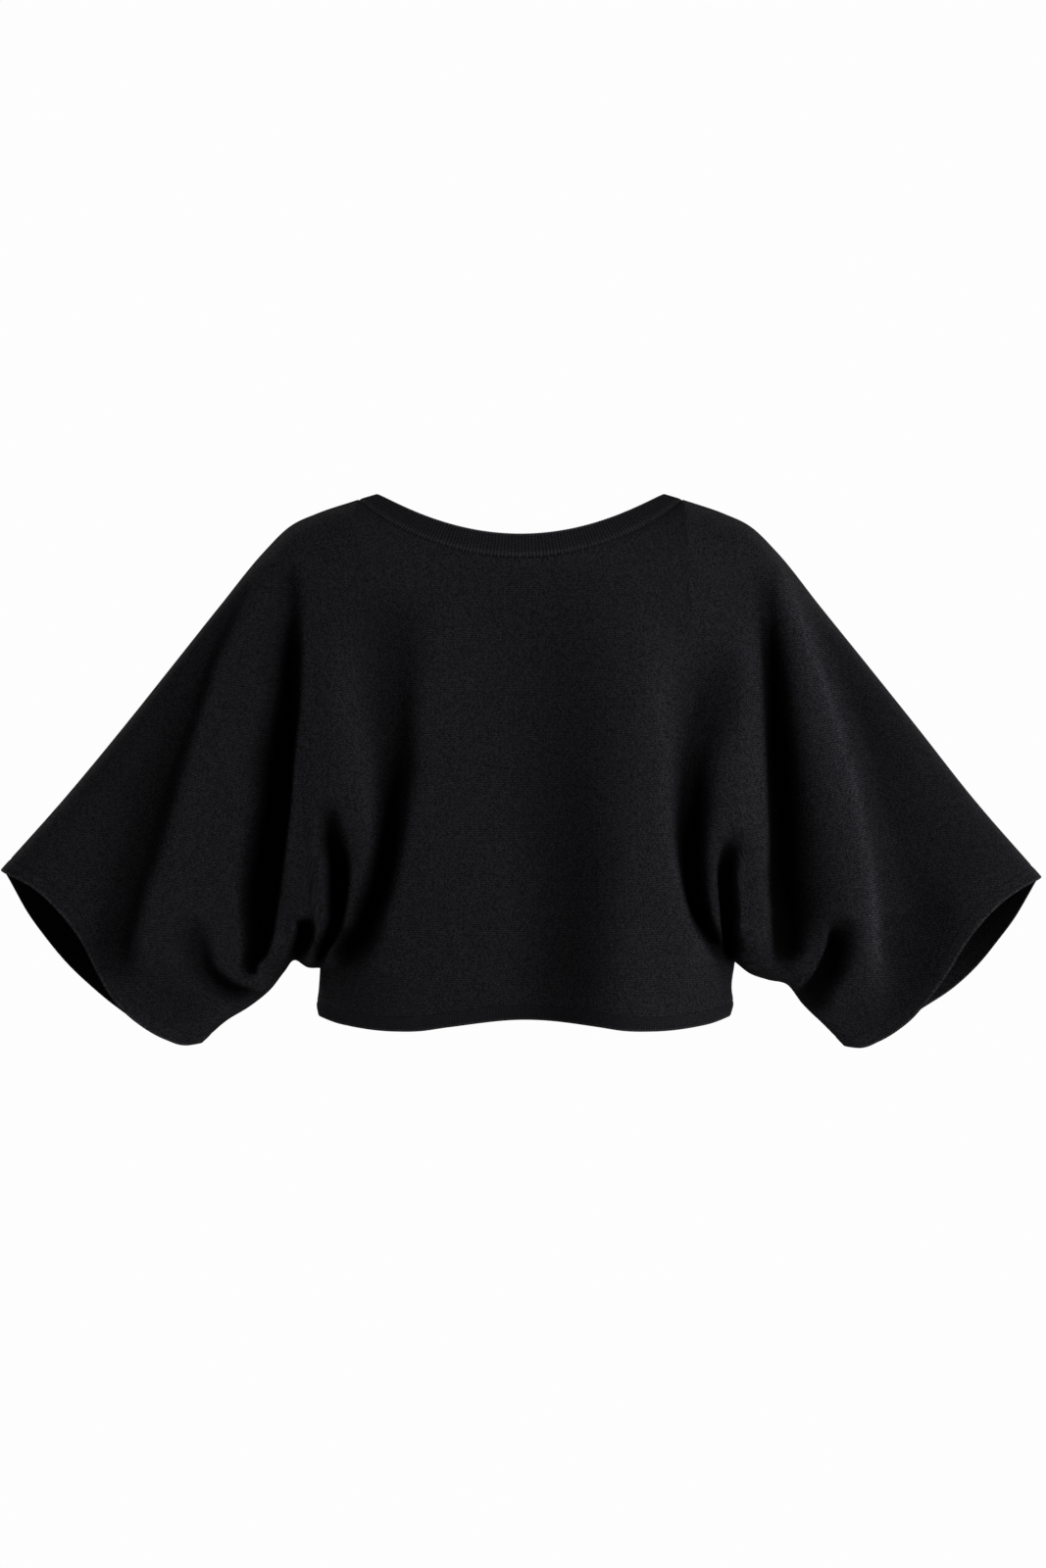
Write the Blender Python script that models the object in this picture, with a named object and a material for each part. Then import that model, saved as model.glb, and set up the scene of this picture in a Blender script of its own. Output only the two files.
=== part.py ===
"""Cropped batwing knit top with a wide ribbed boat neck, worn shape, hollow and open at neck, hem and cuffs.

Front faces -Y, +X is the wearer's left. The origin lies on the line between the two highest points of the neck,
midway between them. Lengths in the tables are millimetres, angles degrees.

Two panels, front and back, each cut in one with its half of both sleeves, meet along the shoulders, the tops and
undersides of the sleeves and the sides of the body. Four ring bands finish the neck, hem and cuffs.
A panel is a grid of columns. A column is named by its share u: 0 at the centre, 0.30 where the neck ends,
0.42 at the underarm, 1 at the cuff edge, negative on the wearer's right. v runs 0 to 1 down a column from the neck
or shoulder line to the underarm line or sleeve underside, and 1 to 2 from the underarm line to the hem edge.
"""
import bpy
import numpy as np

# driving sizes
wall = 2.0            # cloth thickness
gap = 0.3             # between two pieces that are linked together
bandHigh = 12.5       # depth of the hem and cuff bands
neckWide = 135.0      # centre line to the highest point of the neck edge
neckSeamWide = 152.0  # centre line to the end of the neck seam on the shoulder
neckSeamZ = -5.5      # height of that end
neckShare, armShare = 0.30, 0.42
neckEven = .85
neckRings = {'front': {'seamY': 86, 'seamDrop': 57, 'topY': 80, 'topDrop': 43.3},
             'back': {'seamY': 72, 'seamDrop': 48, 'topY': 66, 'topDrop': 36}}
waistY = {'front': 110, 'back': 90}
waistFlow = 110.0      # length over which the body eases into the waist
hemY = {'front': 109, 'back': 92}
armZ = {'left': -443, 'right': -437}
restDepth = 7.0       # least depth a fold leaves between the cloth and its seam plane
foldSoftness = 14.0   # folds are widened by this much here, for facets of this size
mmPerMetre = 1000.0


def table(names, *rows):
    values = np.array(rows, float)
    return {name: values[:, i] for i, name in enumerate(names.split())}


shoulder = table(
    'u left right zLeft zRight',
    (.30, 152, 152, -5.5, -5.5), (.36, 190, 190, -17.2, -17.2), (.42, 219.5, 219.5, -31.9, -31.9),
    (.46, 239.5, 239.5, -52, -52), (.55, 280.5, 280, -103, -103), (.65, 323.5, 324, -158.5, -158.5),
    (.75, 367, 368, -214, -215), (.87, 421, 420, -281, -283), (1.0, 479.5, 479.5, -349.5, -355.5))
underside = {
    'left': table('u x z', (.42, 188, -443), (.47, 199.5, -442), (.52, 211.5, -434), (.58, 221.5, -447.5),
                  (.66, 234, -464), (.75, 252, -478), (.86, 275, -491), (1.0, 300, -513.5)),
    'right': table('u x z', (.42, 201, -437), (.50, 215, -448), (.58, 232, -457), (.66, 250.5, -460.5),
                   (.74, 263, -474), (.86, 283, -493), (1.0, 303.5, -515.5))}
waist = table('h left right', (0, 188, 201), (.5, 189.5, 198), (.8, 191, 199.5), (1, 189.5, 197))
fan = table('u angle', (-.15, -27), (0, 0), (.15, 27), (.30, 54), (.36, 70), (.42, 90))
hem = table('angle front back', (-20, -491.5, -484), (0, -484.5, -481), (20, -491.5, -484), (38, -497, -488), (60, -494, -489),
            (75, -489.5, -487.5), (90, -487.5, -487))
cuffBow = table(
    't front backLeft backRight', (0, 0, 0, 0), (.13, -8, 16, 18), (.27, -10, 28, 29), (.40, -6, 34, 34),
    (.53, 5, 35, 35), (.66, 15, 33, 31), (.77, 18, 28, 24), (.89, 15, 17, 14), (.96, 10, 8, 6), (1, 0, 0, 0))
# depth of the cloth from the seam plane at four shares of the way down each column
sectionAt = np.array([-.1, .12, .35, .65, .90, 1.1])
section = {
    'front': table('u a b c d', (-.15, 97, 113, 113, 104), (0, 101, 117, 118, 112), (.15, 97, 113, 113, 104),
                   (.30, 77, 98, 98, 82), (.42, 60, 81, 84, 60), (.55, 52, 66, 70, 46), (.75, 48, 58, 54, 34),
                   (1.0, 38, 50, 48, 24)),
    'back': table('u a b c d', (-.15, 86, 97, 92, 86), (0, 90, 100, 96, 92), (.15, 86, 97, 92, 86),
                  (.30, 69, 86, 82, 68), (.42, 54, 72, 74, 54), (.55, 48, 60, 62, 42), (.75, 44, 54, 50, 30),
                  (1.0, 38, 46, 42, 22))}
rounding = table('u top bottom', (-.15, 68, 60), (0, 70, 60), (.15, 68, 60), (.30, 62, 56), (.42, 55, 42),
                 (.55, 48, 34), (.75, 44, 28), (1.0, 36, 22))
# a fold is a hollow along a path: its depth, and its half width towards the centre and away from it
foldNames = 'x z depth inner outer'
folds = {
    'front': {
        'bodyRight': table(foldNames, (-112, -110, 0, 40, 46), (-113, -179, 10, 34, 40), (-115, -235, 26, 24, 32),
                           (-118, -290, 46, 17, 22), (-119, -326, 54, 14, 17), (-127, -363, 56, 13, 15),
                           (-145, -400, 50, 13, 15), (-165, -425, 30, 12, 14), (-180, -438, 8, 10, 12)),
        'armpitRight': table(foldNames, (-178, -296, 0, 9, 12), (-173, -318, 26, 9, 13), (-169, -345, 48, 9, 13),
                             (-169, -370, 52, 9, 13), (-174, -396, 46, 8, 11), (-182, -419, 36, 7, 8),
                             (-189, -438, 16, 6, 6)),
        'sleeveRight': table(foldNames, (-214, -62, 0, 22, 34), (-211, -130, 40, 13, 32), (-213, -179, 60, 12, 28),
                             (-217, -225, 68, 12, 26), (-224, -271, 72, 13, 24), (-232, -317, 74, 14, 24),
                             (-237, -363, 74, 15, 22), (-244, -398, 70, 15, 17), (-249, -425, 56, 15, 14),
                             (-249, -444, 16, 12, 10)),
        'outerRight': table(foldNames, (-244, -70, 0, 22, 20), (-268, -130, 10, 30, 26), (-290, -188, 15, 36, 32),
                            (-313, -253, 19, 40, 38), (-336, -317, 20, 38, 44), (-354, -372, 16, 32, 44),
                            (-370, -425, 0, 26, 36)),
        'lowRight': table(foldNames, (-306, -405, 0, 12, 20), (-298, -432, 20, 10, 18), (-287, -452, 27, 9, 16),
                          (-270, -464, 26, 8, 13), (-250, -469, 16, 7, 9)),
        'pocketRight': table(foldNames, (-201, -402, 0, 9, 8), (-202, -412, 34, 10, 8), (-205, -424, 34, 10, 7),
                             (-210, -436, 20, 8, 6)),
        'bodyLeft': table(foldNames, (172, -150, 0, 44, 44), (168, -216, 14, 28, 36), (163, -262, 34, 20, 26),
                          (160, -299, 48, 15, 19), (159, -331, 54, 13, 16), (161, -363, 56, 12, 15),
                          (170, -391, 50, 12, 14), (185, -417, 38, 11, 13), (198, -434, 18, 9, 9)),
        'armpitLeft': table(foldNames, (198, -322, 0, 9, 12), (195, -342, 32, 9, 13), (193, -362, 48, 8, 12),
                            (194, -386, 48, 7, 11), (199, -410, 34, 6, 8), (203, -430, 12, 5, 7)),
        'sleeveLeft': table(foldNames, (232, -60, 0, 22, 34), (238, -124, 44, 13, 32), (242, -179, 60, 12, 28),
                            (244, -235, 68, 12, 25), (247, -290, 70, 12, 24), (250, -345, 70, 12, 23),
                            (251, -391, 64, 11, 20), (250, -424, 44, 9, 13), (250, -440, 6, 8, 9)),
        'outerLeft': table(foldNames, (262, -88, 0, 18, 40), (313, -180, 8, 26, 60), (350, -271, 12, 36, 70),
                           (373, -345, 12, 44, 70), (387, -400, 0, 40, 60)),
        'pocketLeft': table(foldNames, (301, -396, 0, 9, 14), (302, -412, 40, 10, 16), (297, -434, 56, 12, 20),
                            (287, -456, 52, 13, 20), (276, -474, 24, 12, 16)),
        'chest': table(foldNames, (52, -60, 2, 60, 60), (54, -200, 6, 60, 60), (58, -350, 8, 60, 60),
                       (60, -490, 6, 60, 60))},
    'back': {
        'bodyRight': table(foldNames, (-112, -130, 0, 40, 46), (-116, -220, 20, 30, 38), (-122, -300, 40, 24, 30),
                           (-130, -360, 44, 20, 24), (-148, -405, 34, 16, 17), (-176, -432, 16, 12, 12)),
        'sleeveRight': table(foldNames, (-222, -66, 0, 24, 34), (-220, -150, 34, 18, 36), (-226, -240, 50, 15, 36),
                             (-234, -330, 54, 14, 34), (-240, -400, 44, 14, 30), (-244, -436, 0, 12, 22)),
        'outerRight': table(foldNames, (-252, -80, 0, 26, 24), (-300, -200, 12, 38, 36), (-338, -320, 16, 42, 46),
                            (-360, -410, 0, 32, 40)),
        'bodyLeft': table(foldNames, (150, -140, 0, 42, 44), (148, -220, 18, 28, 38), (150, -300, 38, 20, 30),
                          (158, -360, 46, 16, 22), (176, -408, 34, 14, 16), (199, -436, 14, 10, 10)),
        'sleeveLeft': table(foldNames, (236, -70, 0, 24, 34), (234, -160, 36, 16, 36), (240, -260, 52, 14, 36),
                            (247, -350, 52, 14, 32), (252, -434, 0, 14, 24)),
        'outerLeft': table(foldNames, (268, -96, 0, 24, 34), (322, -200, 10, 34, 50), (358, -310, 14, 42, 60),
                           (378, -400, 0, 40, 50)),
        'spine': table(foldNames, (-20, -60, 0, 60, 60), (-16, -200, 5, 60, 60), (-10, -350, 7, 60, 60),
                       (-8, -490, 6, 60, 60))}}
# where the columns stand: share s of their count to share u of the cloth, closest together across the folds
columnShare = table('s u', (0, 0), (.14, .18), (.74, .62), (1, 1))
grids = {'front': {'columns': 37, 'rows': 16}, 'back': {'columns': 26, 'rows': 13}}
waistRows = 2
bandRows = 3
pathSteps = 60         # points a fold's path is read at
black = (0.0075, 0.0075, 0.0085, 1.0)


def curve(xs, ys, at):
    """A smooth curve through the points (xs, ys), level past both ends."""
    slopes = np.gradient(ys, xs)
    at = np.clip(at, xs[0], xs[-1])
    i = np.clip(np.searchsorted(xs, at, side='right') - 1, 0, len(xs) - 2)
    step = xs[i + 1] - xs[i]
    s = (at - xs[i]) / step
    return ((2*s**3 - 3*s**2 + 1) * ys[i] + (s**3 - 2*s**2 + s) * step * slopes[i]
            + (3*s**2 - 2*s**3) * ys[i + 1] + (s**3 - s**2) * step * slopes[i + 1])


def read(rows, key, column, at):
    return curve(rows[key], rows[column], at)


def ease(x):
    x = np.clip(x, 0, 1)
    return x * x * (3 - 2*x)


def quarter(x):
    """Rises from 0 to 1 as a quarter of a circle."""
    return np.sqrt(1 - (1 - np.clip(x, 0, 1))**2)


def bySide(u, left, right):
    return np.where(u < 0, left, right)


def neckAngle(u):
    """Angle round the neck of the column u, nearly even in width so that the columns don't crowd at its ends."""
    k = np.clip(u/neckShare, -1, 1)
    return np.radians(90)*k*(1 - neckEven) + np.arcsin(k)*neckEven


def neckSeam(phi, face):
    """The seam under the neck band at angle phi from the centre of that face; y is depth from the seam plane."""
    ring = neckRings[face]
    return np.stack([neckSeamWide*np.sin(phi), ring['seamY']*np.cos(phi),
                     neckSeamZ - ring['seamDrop']*np.abs(np.cos(phi))**1.7], -1)


def neckEdge(phi, face):
    """The upper edge of the neck band, as neckSeam."""
    ring = neckRings[face]
    return np.stack([neckWide*np.sin(phi), ring['topY']*np.cos(phi), -ring['topDrop']*np.cos(phi)**2], -1)


def turned(vectors, face):
    """Depth from the seam plane becomes -Y in front and +Y behind."""
    return vectors*np.array([1, -1 if face == 'front' else 1, 1])


def armLine(u):
    mean = (armZ['left'] + armZ['right']) / 2
    return mean + (bySide(u, armZ['left'], armZ['right']) - mean)*ease(np.abs(u)/armShare)


def hemEdge(u, face):
    return read(hem, 'angle', face, read(fan, 'u', 'angle', np.abs(u)))


def rails(u, face):
    """Both ends of the columns u: on the neck seam or shoulder line, and on the underarm line or underside."""
    a = np.abs(u)
    onNeck, onBody = a <= neckShare, a <= armShare
    seam = neckSeam(neckAngle(a), face)
    line = [bySide(u, read(shoulder, 'u', 'left', a), read(shoulder, 'u', 'right', a)), np.zeros(a.shape),
            bySide(u, read(shoulder, 'u', 'zLeft', a), read(shoulder, 'u', 'zRight', a))]
    top = np.stack([np.where(onNeck, seam[..., i], line[i]) for i in range(3)], -1)
    angle = np.radians(read(fan, 'u', 'angle', a))
    x = bySide(u, read(underside['left'], 'u', 'x', a), read(underside['right'], 'u', 'x', a))
    z = bySide(u, read(underside['left'], 'u', 'z', a), read(underside['right'], 'u', 'z', a))
    low = np.stack([np.where(onBody, bySide(u, waist['left'][0], waist['right'][0])*np.sin(angle), x),
                    np.where(onBody, np.maximum(waistY[face]*np.cos(angle), 0), 0),
                    np.where(onBody, armLine(u), z)], -1)
    return top, low


def sectionDepth(a, t, face):
    """The section table read at column a and share t of the way down it."""
    columns = [read(section[face], 'u', name, a) for name in 'abcd']
    ys = np.stack([columns[0]*.97] + columns + [columns[3]*.98])
    slopes = np.gradient(ys, sectionAt, axis=0)
    i = np.clip(np.searchsorted(sectionAt, t, side='right') - 1, 0, len(sectionAt) - 2)
    step = sectionAt[i + 1] - sectionAt[i]
    s = (t - sectionAt[i]) / step
    at = [np.take_along_axis(values, index[None], 0)[0] for values in (ys, slopes) for index in (i, i + 1)]
    return ((2*s**3 - 3*s**2 + 1)*at[0] + (3*s**2 - 2*s**3)*at[1]
            + (s**3 - 2*s**2 + s)*step*at[2] + (s**3 - s**2)*step*at[3])


def foldDepth(x, z, face):
    """How far the folds press the cloth in at (x, z): each is a bell across its path, narrow bells squarer."""
    flat = np.stack([x.ravel(), z.ravel()], -1)
    total = np.zeros(len(flat))
    for fold in folds[face].values():
        k = np.arange(len(fold['x']), dtype=float)
        at = np.linspace(0, k[-1], pathSteps)
        path = np.stack([curve(k, fold['x'], at), curve(k, fold['z'], at)], -1)
        along = np.gradient(path, axis=0)
        deep, inner, outer = (curve(k, fold[name], at) for name in ('depth', 'inner', 'outer'))
        nearest = ((flat[:, None] - path)**2).sum(-1).argmin(1)
        here = along[nearest]
        past = ((flat - path[nearest])*here).sum(-1)/(here**2).sum(-1)
        place = np.clip(nearest + np.clip(past, -1, 1), 0, pathSteps - 1)
        steps = np.arange(pathSteps)
        apart = flat - np.stack([np.interp(place, steps, path[:, i]) for i in range(2)], -1)
        away = np.linalg.norm(apart, axis=-1)
        centre = -np.sign(fold['x'][0])*(apart[:, 1]*here[:, 0] - apart[:, 0]*here[:, 1])
        centre = centre/(np.linalg.norm(here, axis=-1)*np.maximum(away, 1e-6))
        width = np.interp(place, steps, inner)*(1 + centre)/2 + np.interp(place, steps, outer)*(1 - centre)/2
        wide = np.hypot(width, foldSoftness)
        power = 2 + 1.4*np.clip((20 - wide)/8, 0, 1)
        total += np.maximum(np.interp(place, steps, deep), 0)*(width/wide)*np.exp(-(away/wide)**power)
    return total.reshape(x.shape)


def clothAt(u, v, face):
    """Points of the outside of the cloth: u signed, v 0 to 2 down the column."""
    u, v = np.broadcast_arrays(np.asarray(u, float), np.asarray(v, float))
    a, t = np.abs(u), np.clip(v, 0, 1)
    top, low = rails(u, face)
    run = low - top
    length = np.hypot(run[..., 0], run[..., 2])
    away = np.clip((a - armShare)/(1 - armShare), 0, 1)
    if face == 'front':
        bulge = read(cuffBow, 't', 'front', t)
    else:
        bulge = bySide(u, read(cuffBow, 't', 'backLeft', t), read(cuffBow, 't', 'backRight', t))
    push = bulge*away**1.6/length
    x = bySide(u, -1, 1)*(top[..., 0] + run[..., 0]*t - push*run[..., 2])
    z = top[..., 2] + run[..., 2]*t + push*run[..., 0]
    nearTop = quarter(t*length/read(rounding, 'u', 'top', a))
    nearLow = quarter((1 - t)*length/read(rounding, 'u', 'bottom', a))
    openTop = np.clip(top[..., 1]/neckRings[face]['seamY'], 0, 1)
    flowing = ease(1.3*low[..., 1]/waistY[face])
    y = top[..., 1] + (sectionDepth(a, t, face) - top[..., 1])*nearTop**(1 + openTop)
    easing = flowing*ease((1 - t)*length/waistFlow)
    y = low[..., 1] + (y - low[..., 1])*(easing + (1 - flowing)*nearLow)
    drop = foldDepth(x, z, face)*nearTop*(easing + (1 - flowing)*np.minimum(nearLow*1.15, 1))
    least = np.minimum(y, restDepth*nearTop*nearLow)
    y = least + np.where(drop > 0, np.minimum(np.logaddexp(0, (y - drop - least)/5)*5, y - least), y - least)
    # the sleeves come forward towards the cuffs
    lean = away**1.2*(46 - 26*t)
    h = np.clip(v - 1, 0, 1)
    angle = np.radians(read(fan, 'u', 'angle', a))
    half = bySide(u, read(waist, 'h', 'left', h), read(waist, 'h', 'right', h))
    below = v > 1
    x = np.where(below, bySide(u, -1, 1)*half*np.sin(angle), x)
    y = np.where(below, np.maximum((waistY[face] + (hemY[face] - waistY[face])*h)*np.cos(angle), 0), y)
    z = np.where(below, armLine(u) + (hemEdge(u, face) - armLine(u))*h, z)
    return np.stack([x, (-y if face == 'front' else y) - lean, z], -1)


def columnShares(count):
    """Signed column shares with the centre, both neck ends and both underarms among them."""
    u = read(columnShare, 's', 'u', np.linspace(0, 1, count))
    for value in (neckShare, armShare):
        u[np.abs(u - value).argmin()] = value
    u[0], u[-1] = 0, 1
    return np.concatenate([-u[:0:-1], u])


def rowShares(count):
    """Shares from 0 to 1, closer together at both ends, where the cloth turns round to the seam."""
    s = np.linspace(0, 1, count)
    edge, start = .06, .107
    slope = 2*edge/start
    near = np.minimum(s, 1 - s)
    t = np.where(near < start, edge*(near/start)**2, edge + (near - start)*slope)
    t = np.where(s > .5, 1 - t, t)
    t[0], t[-1] = 0, 1
    return t


def cuffSeam(t, side, face, into=0.0):
    """Share u at which the cuff band ends, less `into` millimetres, at share t down the cuff."""
    step = .02
    edge = clothAt(side*1.0, t, face) - clothAt(side*(1 - step), t, face)
    return 1 - (bandHigh - into)/np.linalg.norm(edge, axis=-1)*step


def hemSeamShare(u, face):
    return 1 - bandHigh/(armLine(u) - hemEdge(u, face))


def faceNormals(points, quads):
    cross = np.cross(points[quads[:, 2]] - points[quads[:, 0]], points[quads[:, 3]] - points[quads[:, 1]])
    normals = np.zeros(points.shape)
    for corner in range(4):
        np.add.at(normals, quads[:, corner], cross)
    return normals


def unit(vectors):
    return vectors/np.linalg.norm(vectors, axis=-1, keepdims=True)


def gridQuads(rows, columns, closed=False):
    """Quads of a grid of points numbered row by row; `closed` joins the last column to the first."""
    j = np.arange(columns if closed else columns - 1)
    i = np.arange(rows - 1)[:, None]
    after = (j + 1) % columns
    return np.stack([i*columns + j, (i + 1)*columns + j, (i + 1)*columns + after, i*columns + after],
                    -1).reshape(-1, 4)


def addShell(name, points, quads, normals):
    """A closed piece of cloth: the outside, the same surface one wall further in, and rims round its edges."""
    count = len(points)
    inner = points - wall*unit(normals)
    edges = np.concatenate([quads[:, [k, (k + 1) % 4]] for k in range(4)])
    key = np.sort(edges, 1)
    order, index, times = np.unique(key, axis=0, return_index=True, return_counts=True)
    a, b = edges[index[times == 1]].T
    rims = np.stack([b, a, a + count, b + count], -1)
    faces = np.concatenate([quads, quads[:, ::-1] + count, rims])
    mesh = bpy.data.meshes.new(name)
    mesh.from_pydata((np.concatenate([points, inner])/mmPerMetre).tolist(), [], faces.tolist())
    mesh.validate()
    material = bpy.data.materials.new(name + 'Cloth')
    material.use_nodes = True
    shader = material.node_tree.nodes['Principled BSDF']
    shader.inputs['Base Color'].default_value = black
    shader.inputs['Roughness'].default_value = .9
    mesh.materials.append(material)
    piece = bpy.data.objects.new(name, mesh)
    bpy.context.collection.objects.link(piece)


def seamNormal(normals):
    """Normals on a shoulder, sleeve or side seam lie in the seam plane, so front and back edges stay apart."""
    return normals*np.array([1, 0, 1])


def neckNormal(phi, face):
    step = 1e-3
    along = neckSeam(phi + step, face) - neckSeam(phi - step, face)
    down = neckSeam(phi, face) - neckEdge(phi, face)
    return turned(unit(np.cross(along, down)), face)


def hemNormal(u, face):
    angle = np.radians(read(fan, 'u', 'angle', np.abs(u)))
    half = bySide(u, waist['left'][-1], waist['right'][-1])
    side = bySide(u, -1, 1)*np.sin(angle)/half
    return turned(unit(np.stack([side, np.cos(angle)/hemY[face], np.zeros(side.shape)], -1)), face)


def cuffNormal(u, t, face):
    """Outward direction of the cloth beside the cuff, level with the seam plane on the seams themselves."""
    step = 1e-3
    along = clothAt(u + step, t, face) - clothAt(u - step, t, face)
    down = clothAt(u, np.minimum(t + step, 1), face) - clothAt(u, np.maximum(t - step, 0), face)
    normal = np.cross(along, down)*(-1 if face == 'front' else 1)
    seam = (t <= 0) | (t >= 1)
    return np.where(seam[..., None], seamNormal(normal), normal)


def panelCloth(face):
    grid = grids[face]
    u, t = columnShares(grid['columns']), rowShares(grid['rows'])
    beyond = np.abs(u) > armShare
    seamShare = np.stack([cuffSeam(t, side, face, into=-gap) for side in (-1, 1)])[(u > 0).astype(int)]
    stretch = (seamShare - armShare)/(1 - armShare)
    upperU = np.where(beyond[:, None], np.sign(u)[:, None]*(armShare + (np.abs(u) - armShare)[:, None]*stretch),
                      u[:, None]).T
    lowRows = np.arange(1, waistRows + 1)/waistRows
    lowerU = np.broadcast_to(u, (waistRows, len(u)))
    lowerV = 1 + lowRows[:, None]*(hemSeamShare(u, face) - gap/(armLine(u) - hemEdge(u, face)))
    allU = np.concatenate([upperU, lowerU])
    allV = np.concatenate([np.broadcast_to(t[:, None], upperU.shape), lowerV])
    points = clothAt(allU, allV, face).reshape(-1, 3)
    rows, columns = allU.shape
    row, column = np.divmod(np.arange(rows*columns), columns)
    kept = (row < len(t)) | ~beyond[column]
    quads = gridQuads(rows, columns)
    quads = quads[kept[quads].all(1)]
    if face == 'back':
        quads = quads[:, ::-1]
    normals = faceNormals(points, quads)
    share = np.abs(u)[column]
    onSeam = ((row == 0) & (share > neckShare)) | ((row == len(t) - 1) & (share >= armShare)) | (
        (row >= len(t)) & (share == armShare))
    normals[onSeam] = seamNormal(normals[onSeam])
    onNeck = (row == 0) & (share <= neckShare)
    phi = neckAngle(u[column[onNeck]])
    normals[onNeck] = neckNormal(phi, face)
    onHem = (row == rows - 1) & kept
    normals[onHem] = hemNormal(u[column[onHem]], face)
    onCuff = ((column == 0) | (column == columns - 1)) & (row < len(t))
    normals[onCuff] = cuffNormal(allU.ravel()[onCuff], allV.ravel()[onCuff], face)
    apart = onSeam | (onCuff & ((row == 0) | (row == len(t) - 1))) | (onNeck & (share == neckShare))
    points[apart, 1] += (-gap if face == 'front' else gap)/2
    number = np.cumsum(kept) - 1
    return points[kept], number[quads], normals[kept]


def addRing(name, rows, normals, flipped=False):
    """A closed band: `rows` are points, rows by points round the ring."""
    quads = gridQuads(*rows.shape[:2], closed=True)
    addShell(name, rows.reshape(-1, 3), quads[:, ::-1] if flipped else quads, normals.reshape(-1, 3))


def roundBody(limit):
    """Column shares round the body as far as `limit` either side: across the front, then back behind."""
    front, back = (columnShares(grids[face]['columns']) for face in ('front', 'back'))
    return front[np.abs(front) <= limit], back[np.abs(back) < limit][::-1]


def addNeckBand():
    share = roundBody(neckShare)
    down = np.linspace(0, 1, bandRows)[:, None, None]
    rows, normals = [], []
    for face, u in zip(('front', 'back'), share):
        phi = neckAngle(u)
        edge, seam = turned(neckEdge(phi, face), face), turned(neckSeam(phi, face), face)
        seam = seam + unit(edge - seam)*gap
        rows.append(edge + (seam - edge)*down)
        normals.append(np.broadcast_to(neckNormal(phi, face), rows[-1].shape))
    addRing('neck_band', np.concatenate(rows, 1), np.concatenate(normals, 1))


def addHemBand():
    rows, normals = [], []
    for face, u in zip(('front', 'back'), roundBody(armShare)):
        v = 1 + hemSeamShare(u, face)
        v = v + (2 - v)*np.linspace(0, 1, bandRows - 1)[:, None]
        rows.append(clothAt(np.broadcast_to(u, v.shape), v, face))
        normals.append(np.broadcast_to(hemNormal(u, face), rows[-1].shape))
    addRing('hem_band', np.concatenate(rows, 1), np.concatenate(normals, 1))


def addCuffBand(name, side):
    rows, normals = [], []
    for face in ('front', 'back'):
        t = rowShares(grids[face]['rows'])
        t = t if face == 'front' else t[-2:0:-1]
        u = cuffSeam(t, side, face)
        u = side*(u + (1 - u)*np.linspace(0, 1, bandRows - 1)[:, None])
        t = np.broadcast_to(t, u.shape)
        rows.append(clothAt(u, t, face))
        normals.append(cuffNormal(u, t, face))
    addRing(name, np.concatenate(rows, 1), np.concatenate(normals, 1), flipped=side > 0)


for old in list(bpy.data.objects):
    bpy.data.objects.remove(old, do_unlink=True)
for face in ('front', 'back'):
    addShell(face, *panelCloth(face))
addNeckBand()
addHemBand()
addCuffBand('cuff_left', 1)
addCuffBand('cuff_right', -1)
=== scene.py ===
import bpy
import numpy as np
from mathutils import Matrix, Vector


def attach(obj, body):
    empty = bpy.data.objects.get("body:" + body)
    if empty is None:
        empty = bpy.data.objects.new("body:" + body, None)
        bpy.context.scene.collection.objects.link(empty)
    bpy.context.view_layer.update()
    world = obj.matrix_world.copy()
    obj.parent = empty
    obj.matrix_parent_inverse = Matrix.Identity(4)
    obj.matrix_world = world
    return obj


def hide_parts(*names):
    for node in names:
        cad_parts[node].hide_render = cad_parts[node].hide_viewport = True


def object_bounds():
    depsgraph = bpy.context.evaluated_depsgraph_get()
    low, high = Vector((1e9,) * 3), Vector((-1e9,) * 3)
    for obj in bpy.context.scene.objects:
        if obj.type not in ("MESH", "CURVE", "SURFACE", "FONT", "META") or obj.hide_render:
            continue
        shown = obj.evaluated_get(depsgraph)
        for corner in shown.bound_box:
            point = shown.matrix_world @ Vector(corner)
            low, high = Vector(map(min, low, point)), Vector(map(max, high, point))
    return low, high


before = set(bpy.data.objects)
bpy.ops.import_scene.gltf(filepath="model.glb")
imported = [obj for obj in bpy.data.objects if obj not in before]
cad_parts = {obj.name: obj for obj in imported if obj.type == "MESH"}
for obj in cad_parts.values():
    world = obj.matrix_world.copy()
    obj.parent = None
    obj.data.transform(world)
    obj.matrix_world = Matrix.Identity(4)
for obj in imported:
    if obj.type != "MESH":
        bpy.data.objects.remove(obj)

# Cropped batwing knit top in black fine-gauge yarn, as worn: two panels, front and back, each cut in one with its
# half of both sleeves, and ribbed bands linked on round the neck, the hem and the two cuffs.
# The front faces -Y and +X is the wearer's left. Pattern lengths are in millimetres, angles in degrees.
# A column of a panel is named by its share u: 0 at the centre, 0.30 where the neck ends, 0.42 at the underarm, 1 at
# the cuff edge, negative on the wearer's right. v runs 0 to 1 down a column from the neck or shoulder line to the
# underarm line or sleeve underside, and 1 to 2 from the underarm line to the hem edge.

cadLow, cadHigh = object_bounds()


# columns of numbers under their names
def chart(names, *rows):
    values = np.array(rows, float)
    return {name: values[:, i] for i, name in enumerate(names.split())}


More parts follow.
